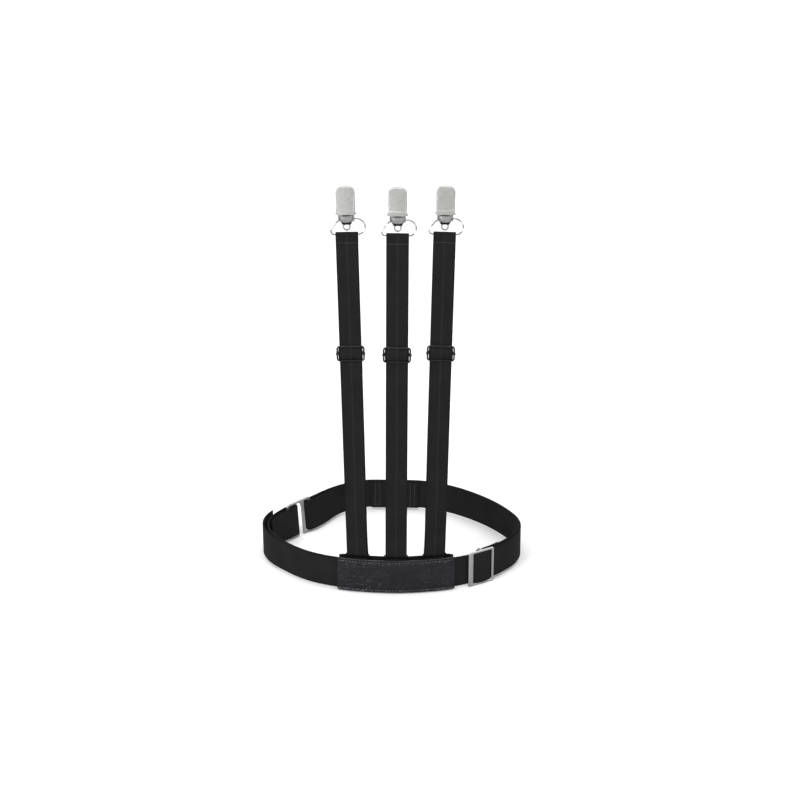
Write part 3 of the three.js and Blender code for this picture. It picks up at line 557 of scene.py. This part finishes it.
ZIGZAG_PITCH, ZIGZAG_SWING = 2.6 * MM, 1.6 * MM
PANEL_STITCH, PANEL_THREAD = 3.0 * MM, 0.42 * MM
PANEL_SEAMS, PANEL_MARGIN, PANEL_PROUD = (4 * MM, 8.5 * MM), 2 * MM, 0.08 * MM


def zigzag(rows, u, half_height, face, lift):
    """A zigzag seam across the tape at distance u, on that face."""
    places = []
    for i in range(int(2 * half_height / ZIGZAG_PITCH)):
        v = -half_height + (i + 0.5) * ZIGZAG_PITCH
        point, along, width, out = on_tape(rows, u, v, face * lift)
        swing = along * ZIGZAG_SWING * (1 if i % 2 else -1)
        places.append((point, width * ZIGZAG_PITCH + swing, out * face))
    return places


panel_seams = [*PANEL_SEAMS, *(panel_rows[-1][0] - u for u in reversed(PANEL_SEAMS))]
panel_places = [place for u in panel_seams
                for place in zigzag(panel_rows, u, panel_half - PANEL_MARGIN,
                                    -face_away(panel_rows), panel_thick + PANEL_PROUD)]
stitches("back_panel_stitches", panel_places, PANEL_STITCH, PANEL_THREAD, "belt")

# %% [markdown]
# ## The leather patch
# The patch covers the strap ends. Soft leather glued over webbing wrinkles, so a warped ridged
# noise lifts and lowers its face by some tenths of a millimetre, and the seams near its two long
# edges pull it in.

# %% The leather patch
PATCH_STEP, PATCH_SAMPLES, PATCH_ROUND = 0.8 * MM, 60, 0.8
SEAM_INSET, SEAM_DEPTH, SEAM_SPREAD = 2.4 * MM, 0.25 * MM, 0.9 * MM
FOLD_HEIGHT, FINE_HEIGHT, RIM = 1.3 * MM, 0.07 * MM, 1.2 * MM
PATCH_PITCH, PATCH_MARGIN, PATCH_PROUD = 3.1 * MM, 3 * MM, 0.02 * MM
PATCH_STITCH, PATCH_THREAD = 2.2 * MM, 0.75 * MM
patch_rows, patch_half, patch_thick = belt_rows("leather_patch", patch_low, PATCH_STEP)
patch_length = patch_rows[-1][0]
patch_out = face_away(patch_rows)


def wrinkles(u, v, face):
    if face != patch_out:
        return 0.0
    x, y = u / MM, v / MM
    bend = noise.noise(Vector((x * 0.06, y * 0.09, 3.1))) * 5
    warped = Vector((x * 0.34 + bend * 0.24 + y * 0.2, y * 0.5 - x * 0.12 + bend * 0.35, 0.7))
    folds = noise.ridged_multi_fractal(warped, 0.9, 2.1, 4, 1.0, 1.9) / 2.6
    fine = noise.fractal(Vector((x * 0.9, y * 1.0, 5.0)), 1.0, 2.0, 3)
    seam = bump_at(abs(v), patch_half - SEAM_INSET, SEAM_SPREAD)
    rim = min(1.0, (patch_half - abs(v)) / RIM, u / RIM, (patch_length - u) / RIM)
    return (FOLD_HEIGHT * (folds - 0.5) + FINE_HEIGHT * fine) * max(rim, 0.0) - SEAM_DEPTH * seam


patch_section = tape_section(patch_half, patch_thick, PATCH_SAMPLES, patch_thick * PATCH_ROUND)
piece_of("leather_patch_wrinkled", tape(patch_rows, patch_section, wrinkles), leather,
         "belt", ["leather_patch"], sharp=60)


def patch_seam(v):
    """Places for an even row of stitches along the patch at v."""
    run = patch_length - 2 * PATCH_MARGIN
    count = int(run / PATCH_PITCH)
    places = []
    for i in range(count + 1):
        point, along, _, out = on_tape(patch_rows, PATCH_MARGIN + i * run / count, v,
                                       patch_out * (patch_thick + PATCH_PROUD))
        places.append((point, along, out * patch_out))
    return places


for label, v in (("upper", patch_half - SEAM_INSET), ("lower", SEAM_INSET - patch_half)):
    stitches(f"leather_patch_{label}_stitches", patch_seam(v), PATCH_STITCH, PATCH_THREAD,
             "belt")

# %% [markdown]
# ## Frames on the straps
# Each strap stands on its anchor bar and ends at the bar of its bail. The two joints give both
# points and both directions across, so the strap's own frame and its slight twist come from them.

# %% Frames on the straps
STRAP_THICK = 1.2 * MM
GAP = 0.3 * MM  # between two layers
FOLD = 1.6 * MM  # radius of the cloth's middle round a bar
STRAP_LENGTH = 306.5 * MM
SLIDER_HEIGHT = 197.5 * MM
TWIST = (12 * MM, 150 * MM)  # the strap turns between these heights
STRAP_STEP = 2.5 * MM


def strap_frames(side):
    """The strap's upper frame, x across, y to the rear and z up, at its anchor; and its twist."""
    anchor = Vector(joints[f"strap_{side}_fold"]["pos_m"])
    top = Vector(joints[f"bail_{side}_swing"]["pos_m"])
    up = (top - anchor).normalized()
    across = Vector(joints[f"bail_{side}_swing"]["axis"]).normalized()
    lower = Vector(joints[f"strap_{side}_fold"]["axis"]).normalized()
    angle = math.atan2(across.cross(lower).dot(up), across.dot(lower))
    matrix = Matrix((across, up.cross(across), up)).transposed().to_4x4()
    return Matrix.Translation(anchor) @ matrix, angle


def smoothstep(x, low, high):
    t = min(max((x - low) / (high - low), 0.0), 1.0)
    return t * t * (3 - 2 * t)


def strap_points(side, line):
    """(middle, width direction) pairs for a line of (y, z) points on that strap, with its twist."""
    matrix, angle = strap_frames(side)
    points = []
    for y, z in line:
        turn = Matrix.Rotation(angle * (1 - smoothstep(z, *TWIST)), 4, "Z")
        points.append((matrix @ (turn @ Vector((0, y, z))),
                       matrix.to_3x3() @ (turn @ Vector((1, 0, 0)))))
    return points


def arc(y, z, radius, start, end, steps):
    """Points (y, z) on an arc, from the start angle to the end angle in degrees."""
    angles = [math.radians(start + (end - start) * i / steps) for i in range(steps + 1)]
    return [(y + radius * math.cos(a), z + radius * math.sin(a)) for a in angles]

# %% [markdown]
# ## Strap webbing
# The front run of each strap comes round the anchor bar, climbs past the slider and folds over the
# bail into a sewn hem. The elastic has a raised line down its middle and firm edges.

# %% Strap webbing
FRONT = -FOLD - STRAP_THICK / 2  # the front run's outer face
REAR = -FOLD + STRAP_THICK + GAP  # middle of the layer behind the front run
CUT = 9 * MM  # height of the cut end above the anchor bar
HEM_STITCH, HEM_THREAD, HEM_DROP, HEM_PROUD = 1.35 * MM, 0.4 * MM, 7.2 * MM, 0.05 * MM
STITCHES_ACROSS = [-8.8 + 1.76 * i for i in range(11)]  # in millimetres
front_line = ([(REAR + 0.75 * MM, CUT), (FOLD + 0.02 * MM, 2.5 * MM)] + arc(0, 0, FOLD, 0, -180, 14)
              + [(-FOLD, z * MM) for z in (4, 12, 40, 75, 110, 150, 190, 230, 270, 300)]
              + arc(0, STRAP_LENGTH, FOLD, 180, 0, 14)
              + [(REAR + 1.0 * MM, STRAP_LENGTH - 2.6 * MM), (REAR, STRAP_LENGTH - 5 * MM),
                 (REAR, STRAP_LENGTH - 8.5 * MM)])


def strap_relief(u, v, face):
    """A raised line down the middle and firm edges."""
    ridge = 0.16 * MM * bump_at(v, 0, 0.8 * MM)
    edge = 0.06 * MM * bump_at(abs(v), STRAP_HALF * 0.92, 0.5 * MM)
    return ridge + edge


def seam_across(side, rows):
    """Rows of stitches across a strap; a row is (y, z, 1 if it faces the rear or -1)."""
    matrix, _ = strap_frames(side)
    turn = matrix.to_3x3()
    return [(matrix @ Vector((x * MM, y, z)), turn @ Vector((1, 0, 0)), turn @ Vector((0, face, 0)))
            for y, z, face in rows for x in STITCHES_ACROSS]


strap_section = tape_section(STRAP_HALF, STRAP_THICK / 2, 24, STRAP_THICK / 2)
for side in SIDES:
    rows = rows_from(strap_points(side, front_line), STRAP_STEP)
    piece_of(f"strap_{side}_front_run", tape(rows, strap_section, strap_relief), strap_cloth,
             f"strap_{side}", [f"strap_{side}_webbing"])
    hem_height = STRAP_LENGTH - HEM_DROP
    hem = seam_across(side, [(FRONT - HEM_PROUD, hem_height, -1),
                             (REAR + STRAP_THICK / 2 + HEM_PROUD, hem_height, 1)])
    stitches(f"strap_{side}_hem_stitches", hem, HEM_STITCH, HEM_THREAD, f"strap_{side}")

# %% [markdown]
# The rear layer runs from the anchor bar up to the slider, where its end is folded round the centre
# bar and sewn down. It is a piece of its own, because it draws out when the slider is pushed up.

# %% Rear layer
SLIDER_WIRE, WRAP_GAP = 0.8 * MM, 0.2 * MM
WRAP = SLIDER_WIRE + WRAP_GAP + STRAP_THICK / 2  # radius of the cloth's middle round the centre bar
BAR_Y = -FOLD + STRAP_THICK + GAP + WRAP
TAIL = 21 * MM  # length of the sewn end below the centre bar
TAIL_SEAMS, TAIL_PROUD = (-16 * MM, -19 * MM), 0.5 * MM
rear_line = ([(REAR + 0.75 * MM, CUT), (REAR + 0.1 * MM, 20 * MM)]
             + [(REAR, z * MM) for z in (40, 80, 120, 150)]
             + [(REAR + 0.2 * MM, SLIDER_HEIGHT - 22 * MM),
                (BAR_Y - WRAP + 0.1 * MM, SLIDER_HEIGHT - 6 * MM)]
             + arc(BAR_Y, SLIDER_HEIGHT, WRAP, 180, 0, 12)
             + [(BAR_Y + WRAP - 0.2 * MM, SLIDER_HEIGHT - 6 * MM),
                (REAR + STRAP_THICK + 0.55 * MM, SLIDER_HEIGHT - 14 * MM),
                (REAR + STRAP_THICK + 0.35 * MM, SLIDER_HEIGHT - TAIL)])
for side in SIDES:
    rows = rows_from(strap_points(side, rear_line), STRAP_STEP)
    layer = piece_of(f"strap_{side}_rear_layer", tape(rows, strap_section, strap_relief),
                     strap_cloth, None, [f"strap_{side}_slider_end"])
    matrix, _ = strap_frames(side)
    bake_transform(layer)
    tail_face = REAR + STRAP_THICK * 1.5 + TAIL_PROUD
    seam = seam_across(side, [(tail_face, SLIDER_HEIGHT + z, 1) for z in TAIL_SEAMS])
    stitches(f"strap_{side}_tail_stitches", seam, HEM_STITCH, HEM_THREAD, f"slider_{side}")

# %% [markdown]
# ## Wire pieces
# Rings, sliders and bails are bent from round wire. A curve with a round bevel is the natural way:
# the curve gives the bend, the bevel gives the wire, and the result is kept as a mesh. The sliders
# and rings are black; the centre bar of a slider turns in two small collars.

# %% Wire pieces
def wire(bm, points, radius, matrix, closed=False, smooth=True):
    """Adds a round wire through the points, which are in the matrix's own frame, to the bmesh."""
    curve = bpy.data.curves.new("wire", "CURVE")
    curve.dimensions = "3D"
    curve.bevel_depth = radius
    curve.bevel_resolution = 3
    curve.resolution_u = 6
    curve.use_fill_caps = not closed
    spline = curve.splines.new("BEZIER" if smooth else "POLY")
    target_points = spline.bezier_points if smooth else spline.points
    target_points.add(len(points) - 1)
    for place, point in zip(target_points, points):
        if smooth:
            place.co = point
            place.handle_left_type = place.handle_right_type = "AUTO"
        else:
            place.co = (*point, 1)
    spline.use_cyclic_u = closed
    holder = bpy.data.objects.new("wire", curve)
    mesh = holder.to_mesh()
    mesh.transform(matrix)
    bm.from_mesh(mesh)
    holder.to_mesh_clear()
    bpy.data.objects.remove(holder)
    bpy.data.curves.remove(curve)


def rounded_loop(width, height, radius, y, z, steps=6):
    """Points round an upright rectangle with round corners, about (0, y, z)."""
    points = []
    for side_x, side_z, start in ((1, -1, -90), (1, 1, 0), (-1, 1, 90), (-1, -1, 180)):
        for i in range(steps + 1):
            angle = math.radians(start + 90 * i / steps)
            points.append((side_x * (width / 2 - radius) + radius * math.cos(angle), y,
                           z + side_z * (height / 2 - radius) + radius * math.sin(angle)))
    return points


SLIDER_SIZE, SLIDER_CORNER = (25.6 * MM, 14.8 * MM), 2.2 * MM
SLIDER_Y = FRONT - GAP - SLIDER_WIRE
COLLAR_RADIUS, COLLAR_LENGTH, COLLAR_EDGE = 1.35 * MM, 2.6 * MM, 0.35 * MM
RING_SIZE, RING_WIRE, RING_CORNER = (23.2 * MM, 7.0 * MM), 0.6 * MM, 1.4 * MM


def slider_shape(matrix):
    """The slider's frame, the centre bar bent to the rear, and the collars where they meet."""
    bm = bmesh.new()
    width, height = (s - 2 * SLIDER_WIRE for s in SLIDER_SIZE)
    outline = rounded_loop(width, height, SLIDER_CORNER, SLIDER_Y, SLIDER_HEIGHT)
    wire(bm, outline, SLIDER_WIRE, matrix, True, False)
    x = width / 2
    bar = [(x, SLIDER_Y), (x, BAR_Y - 1.6 * MM), (x - 0.5 * MM, BAR_Y - 0.4 * MM),
           (x - 1.8 * MM, BAR_Y)]
    bar += [(-px, py) for px, py in reversed(bar)]
    wire(bm, [(px, py, SLIDER_HEIGHT) for px, py in bar], SLIDER_WIRE, matrix)
    for sign in (-1, 1):
        collar = (Matrix.Translation((sign * x, SLIDER_Y, SLIDER_HEIGHT))
                  @ Matrix.Rotation(math.pi / 2, 4, "X"))
        made = bmesh.ops.create_cone(bm, cap_ends=True, segments=20, radius1=COLLAR_RADIUS,
                                     radius2=COLLAR_RADIUS, depth=COLLAR_LENGTH,
                                     matrix=matrix @ collar)
        rims = dict.fromkeys(e for v in made["verts"] for e in v.link_edges
                             if e.calc_face_angle(0) > 1)
        bmesh.ops.bevel(bm, geom=list(rims), offset=COLLAR_EDGE, segments=3, profile=0.5,
                        affect="EDGES", material=-1)
    return bm


def ring_shape(matrix):
    bm = bmesh.new()
    width, height = (s - 2 * RING_WIRE for s in RING_SIZE)
    outline = rounded_loop(width, height, RING_CORNER, 0, -height / 2)
    wire(bm, outline, RING_WIRE, matrix, True, False)
    return bm


for side in SIDES:
    matrix, angle = strap_frames(side)
    piece_of(f"strap_{side}_slider_wire", slider_shape(matrix), black_enamel,
             f"slider_{side}", [f"strap_{side}_slider"])
    lower = matrix @ Matrix.Rotation(angle, 4, "Z")
    piece_of(f"strap_{side}_anchor_ring_wire", ring_shape(lower), black_enamel,
             "belt", [f"strap_{side}_anchor_ring"])

# %% [markdown]
# ## Webbing in the sliders
# In each slider the strap rises in a low arch over the centre bar. The arch catches the light along
# its crown.

# %% Webbing in the sliders
ARCH_TALL = SLIDER_SIZE[1] / 2 - 2 * SLIDER_WIRE - 0.1 * MM
ARCH_WIDE = SLIDER_SIZE[0] / 2 - 2 * SLIDER_WIRE - 0.3 * MM  # the slack cloth fills the slider
ARCH_FOOT, ARCH_SHOULDER, ARCH_CROWN = GAP + 0.1 * MM, 1.7 * MM, 2.3 * MM
ARCH_THICK, ARCH_STEP = 0.4 * MM, 0.8 * MM
arch_line = [(FRONT - rise, SLIDER_HEIGHT + ARCH_TALL * up)
             for rise, up in ((ARCH_FOOT, -1), (ARCH_SHOULDER, -0.55), (ARCH_CROWN, 0),
                              (ARCH_SHOULDER, 0.55), (ARCH_FOOT, 1))]
arch_section = tape_section(ARCH_WIDE, ARCH_THICK, 24, ARCH_THICK)
for side in SIDES:
    rows = rows_from(strap_points(side, arch_line), ARCH_STEP)
    piece_of(f"strap_{side}_slider_arch_cloth", tape(rows, arch_section, strap_relief),
             strap_cloth, f"slider_{side}", [f"strap_{side}_slider_arch"])

# %% [markdown]
# ## Clips
# A clip is stamped from nickel-plated sheet. Its frame piece has ears and an eyelet, a lever turns
# on a pin between the ears, and a toothed jaw lies between them. Edges of stamped sheet are
# slightly round, so these CAD solids are copied, merged and bevelled. The lever is made anew, with
# its pebbled face and a rim of beads; the cup in front of the jaw moves with it. The bail is bent
# from wire, more to one side than to the other.

# %% Clips
CLIP_HALF, CLIP_TOP = 8.25 * MM, 43.8 * MM
LEVER_HEIGHT, LEVER_CORNER, LEVER_FRONT = 25 * MM, 5.2 * MM, -6.25 * MM
LEVER_DEPTH, LEVER_SHEET = 3.35 * MM, 0.6 * MM
ROLL_DEPTH, ROLL_WIDTH = 0.45 * MM, 0.7 * MM  # the edge turns back
DOME, DOME_FADE = 0.25 * MM, 8 * MM  # the face bulges, but not at its top
GROOVE_DEPTH, GROOVE_HEIGHT, GROOVE_WIDTH = 0.12 * MM, 3.3 * MM, 0.35 * MM
PEBBLE_HEIGHT, PEBBLES_PER_MM, PEBBLE_SEED = 0.14 * MM, 1.5, Vector((0, 4.2, 0))
BEAD_SIZE, BEAD_INSET, BEAD_FOOT, BEAD_PITCH = (0.40, 0.36, 0.40), 0.85 * MM, 3.9 * MM, 1.15 * MM
CUP_LOW, CUP_HEIGHT, CUP_SHEET = 8.8, 8.2, 0.4 * MM
SHEET_EDGE, SMALL_EDGE = 0.16 * MM, 0.08 * MM
BAIL_RADIUS = 0.65 * MM
BAIL_LINE = ((5.65, 13), (8.4, 14.2), (12.2, 13.1), (15.4, 10.2), (16.3, 6.6), (14.9, 2.6),
             (12.2, 0.4), (8.5, 0), (-8.5, 0), (-11.8, 0.1), (-13.8, 2.0), (-13.3, 5.0),
             (-10.6, 8.6), (-8.0, 11.6), (-5.65, 13))


def clip_matrix(side):
    """The strap's frame, moved up to the bar of its bail."""
    return strap_frames(side)[0] @ Matrix.Translation((0, 0, STRAP_LENGTH))


def lever_outline(inset, lower, step):
    """Points (x, z) round the lever's face, inset from its edge, about step apart."""
    half, corner = CLIP_HALF - inset, LEVER_CORNER - inset
    top, bottom = CLIP_TOP - inset, CLIP_TOP - LEVER_HEIGHT + lower
    angles = [math.pi / 2 * i / 8 for i in range(9)]
    path = ([(-half, bottom), (-half, top - corner)]
            + [(-half + corner - corner * math.cos(a), top - corner + corner * math.sin(a))
               for a in angles[1:]]
            + [(half - corner + corner * math.sin(a), top - corner + corner * math.cos(a))
               for a in angles]
            + [(half, bottom), (-half, bottom)])
    made = []
    for (x0, z0), (x1, z1) in zip(path, path[1:]):
        parts = max(1, round(math.hypot(x1 - x0, z1 - z0) / step))
        made += [(x0 + (x1 - x0) * i / parts, z0 + (z1 - z0) * i / parts)
                 for i in range(parts)]
    return made


def bead_rim(matrix):
    """The row of small beads round the lever's pebbled face."""
    bm = bmesh.new()
    size = Matrix.Diagonal((*(radius * MM for radius in BEAD_SIZE), 1))
    for x, z in lever_outline(BEAD_INSET, BEAD_FOOT, BEAD_PITCH):
        bmesh.ops.create_icosphere(bm, subdivisions=1, radius=1,
                                   matrix=matrix @ Matrix.Translation((x, LEVER_FRONT, z)) @ size)
    return bm


def lever_shell(matrix):
    """The lever: a pebbled, slightly domed face with turned-back sides over a smooth band."""
    bm = bmesh.new()
    bmesh.ops.create_grid(bm, x_segments=66, y_segments=100, size=1)
    bottom = CLIP_TOP - LEVER_HEIGHT
    for vert in bm.verts:
        u, z = vert.co.x, bottom + (vert.co.y + 1) / 2 * LEVER_HEIGHT
        over = max(0.0, z - (CLIP_TOP - LEVER_CORNER))
        half = CLIP_HALF - LEVER_CORNER + math.sqrt(max(LEVER_CORNER**2 - over**2, 0.0))
        x = u * half
        edge = min(half - abs(x), CLIP_TOP - z)
        roll = ROLL_DEPTH * max(0.0, 1 - edge / ROLL_WIDTH) ** 2
        dome = DOME * (1 - u * u) * min(1.0, (CLIP_TOP - z) / DOME_FADE)
        inside = (smoothstep(edge, 1.1 * MM, 1.5 * MM)
                  * smoothstep(z - bottom, 3.6 * MM, 4.0 * MM))
        cell = noise.voronoi(Vector((x, 0, z)) / MM * PEBBLES_PER_MM + PEBBLE_SEED)[0][0]
        groove = GROOVE_DEPTH * bump_at(z - bottom, GROOVE_HEIGHT, GROOVE_WIDTH)
        pebble = PEBBLE_HEIGHT * inside * max(0.0, 0.75 - cell)
        vert.co = Vector((x, LEVER_FRONT + 0.1 * MM - dome + roll + groove - pebble, z))
    rim = [e for e in bm.edges if e.is_boundary
           and (e.verts[0].co.z + e.verts[1].co.z) / 2 > bottom + 0.01 * MM]
    skirt = bmesh.ops.extrude_edge_only(bm, edges=rim)["geom"]
    for vert in (v for v in skirt if isinstance(v, bmesh.types.BMVert)):
        vert.co.y = LEVER_FRONT + LEVER_DEPTH
    bmesh.ops.recalc_face_normals(bm, faces=bm.faces)
    if sum(f.normal.y * f.calc_area() for f in bm.faces) > 0:
        bmesh.ops.reverse_faces(bm, faces=bm.faces)
    bmesh.ops.solidify(bm, geom=bm.faces[:], thickness=LEVER_SHEET)
    bmesh.ops.transform(bm, matrix=matrix, verts=bm.verts)
    return bm


def nose(matrix):
    """The rounded chrome cup below the lever, from the pin down to the eyelet, in millimetres."""
    bm = bmesh.new()
    bmesh.ops.create_grid(bm, x_segments=24, y_segments=14, size=1)
    for vert in bm.verts:
        x, t = vert.co.x, (vert.co.y + 1) / 2
        half = 3.7 + 3.1 * math.sin(t * math.pi / 2)
        depth = 0.4 + 3.0 * math.sin(min(1.0, t * 1.25) * math.pi / 2)
        front = 0.9 - depth * (1 - abs(x) ** 3.2) ** 0.6 * 1.25
        vert.co = Vector((x * half, front, CUP_LOW + CUP_HEIGHT * t)) * MM
    bmesh.ops.recalc_face_normals(bm, faces=bm.faces)
    bmesh.ops.solidify(bm, geom=bm.faces[:], thickness=CUP_SHEET)
    bmesh.ops.transform(bm, matrix=matrix, verts=bm.verts)
    bmesh.ops.recalc_face_normals(bm, faces=bm.faces)
    return bm


for side in SIDES:
    matrix = clip_matrix(side)
    refined(f"clip_{side}_body", bright_nickel, SHEET_EDGE)
    refined(f"clip_{side}_jaw", bright_nickel, SHEET_EDGE)
    piece_of(f"clip_{side}_lever_shell", lever_shell(matrix), pebbled_nickel,
             f"lever_{side}", [f"clip_{side}_lever"], sharp=50)
    refined(f"clip_{side}_pin", nickel_wire, SMALL_EDGE)
    refined(f"clip_{side}_jaw_teeth", nylon, SMALL_EDGE)
    refined(f"clip_{side}_body_teeth", nylon, SMALL_EDGE)
    piece_of(f"clip_{side}_lever_beads", bead_rim(matrix), bright_nickel,
             f"lever_{side}")
    piece_of(f"clip_{side}_nose", nose(matrix), bright_nickel, f"jaw_{side}")
    bail = bmesh.new()
    wire(bail, [(x * MM, 0, z * MM) for x, z in BAIL_LINE], BAIL_RADIUS, matrix)
    piece_of(f"clip_{side}_bail_wire", bail, nickel_wire, f"bail_{side}",
             [f"clip_{side}_bail"])

# %% [markdown]
# ## Hook and belt adjuster
# Both are satin castings. Their CAD shapes are right, so they only get rounded edges and the
# finish. The webbing behind the adjuster's centre bar becomes a woven tape, and the arch over the
# bar keeps its CAD shape in the same cloth.

# %% Hook and belt adjuster
HOOK_EDGE, ADJUSTER_EDGE, ADJUSTER_STEP = 0.4 * MM, 0.2 * MM, 1.2 * MM
refined("closure_hook", satin_silver, HOOK_EDGE, 3)
refined("belt_adjuster_frame", satin_silver, ADJUSTER_EDGE)
refined("belt_adjuster_bar", satin_silver, ADJUSTER_EDGE)
belt_piece("belt_adjuster_end", belt_cloth, Vector((belt_low.x, -0.1, 0)),
           "belt_adjuster", ADJUSTER_STEP)
refined("belt_adjuster_arch", belt_cloth, ADJUSTER_EDGE)

# %% [markdown]
# ## Remaining CAD nodes
# The tabs that hold the anchor rings sit between the backing and the belt. They keep their CAD
# shape and take the backing's cloth.

# %% Remaining CAD nodes
TAB_EDGE = 0.15 * MM
for side in SIDES:
    refined(f"strap_{side}_anchor_tab", backing_cloth, TAB_EDGE)

# %% [markdown]
# ## Floor and light
# A pale floor and soft lights. The floor is darker for mirrored rays, so the leather keeps its
# depth. The key light stands to the left and in front, so the left of the belt and the patch catch
# it, and a low light there draws the glints of the wrinkles. The room is bright, but dark low down
# behind the camera and to its left, so the metal has something to reflect.

# %% Floor and light
PAPER, MIRRORED_PAPER, FLOOR_HALF = 0.9, 0.30, 14
ROOM, ROOM_DARKER = 0.85, 0.80
scene.view_settings.view_transform = "Standard"
floor_bm = bmesh.new()
bmesh.ops.create_grid(floor_bm, x_segments=1, y_segments=1, size=FLOOR_HALF)
floor_mesh = bpy.data.meshes.new("floor")
floor_bm.to_mesh(floor_mesh)
floor_bm.free()
floor = bpy.data.objects.new("floor", floor_mesh)
scene.collection.objects.link(floor)
pale, tree, shader = finish_named("pale_paper", Roughness=0.9, Specular_IOR_Level=0.1)
floor_mesh.materials.append(pale)
mirrored = add_node(tree, "ShaderNodeLightPath").outputs["Is Glossy Ray"]
tree.links.new(ramp(tree, mirrored, (0.0, (PAPER,) * 3), (1.0, (MIRRORED_PAPER,) * 3)),
               shader.inputs["Base Color"])

world = bpy.data.worlds.new("studio")
scene.world = world
world.use_nodes = True
tree = world.node_tree
direction = add_node(tree, "ShaderNodeTexCoord").outputs["Generated"]
x, y, z = add_node(tree, "ShaderNodeSeparateXYZ", {0: direction}).outputs
ahead = soft_step(tree, y, -0.25, -0.75, 0.0, 1.0)
below = soft_step(tree, z, 0.45, 0.15, 0.0, 1.0)
leftward = soft_step(tree, x, 0.45, 0.1, 0.25, 1.0)
dark = calculate(tree, "MULTIPLY", calculate(tree, "MULTIPLY", ahead, below), leftward)
room = calculate(tree, "SUBTRACT", ROOM, calculate(tree, "MULTIPLY", dark, ROOM_DARKER))
seen = add_node(tree, "ShaderNodeLightPath").outputs["Is Camera Ray"]
strength = calculate(tree, "MAXIMUM", room, seen)
tree.links.new(strength, tree.nodes["Background"].inputs["Strength"])
tree.nodes["Background"].inputs["Color"].default_value = (1, 1, 1, 1)


def soft_light(name, place, aim, size, power):
    """A rectangular light that looks from its place at the aim, in metres and watts."""
    data = bpy.data.lights.new(name, "AREA")
    data.shape = "RECTANGLE"
    data.size, data.size_y = size
    data.energy = power
    light = bpy.data.objects.new(name, data)
    light.location = place
    light.rotation_euler = (Vector(aim) - Vector(place)).to_track_quat("-Z", "Y").to_euler()
    scene.collection.objects.link(light)


soft_light("key", (-0.85, -1.2, 1.05), (0, 0, 0.1), (0.34, 0.34), 9)
soft_light("glint", (-0.75, -1.3, 0.36), (0, -0.1, 0.03), (0.22, 0.3), 5)
soft_light("fill", (0.9, -1.3, 0.7), (0, 0, 0.25), (0.4, 0.8), 5)
SUN_STRENGTH, SUN_SOFTNESS = 1.35, math.radians(60)
sun = bpy.data.objects.new("sun", bpy.data.lights.new("sun", "SUN"))
sun.data.energy = SUN_STRENGTH
sun.data.angle = SUN_SOFTNESS
scene.collection.objects.link(sun)
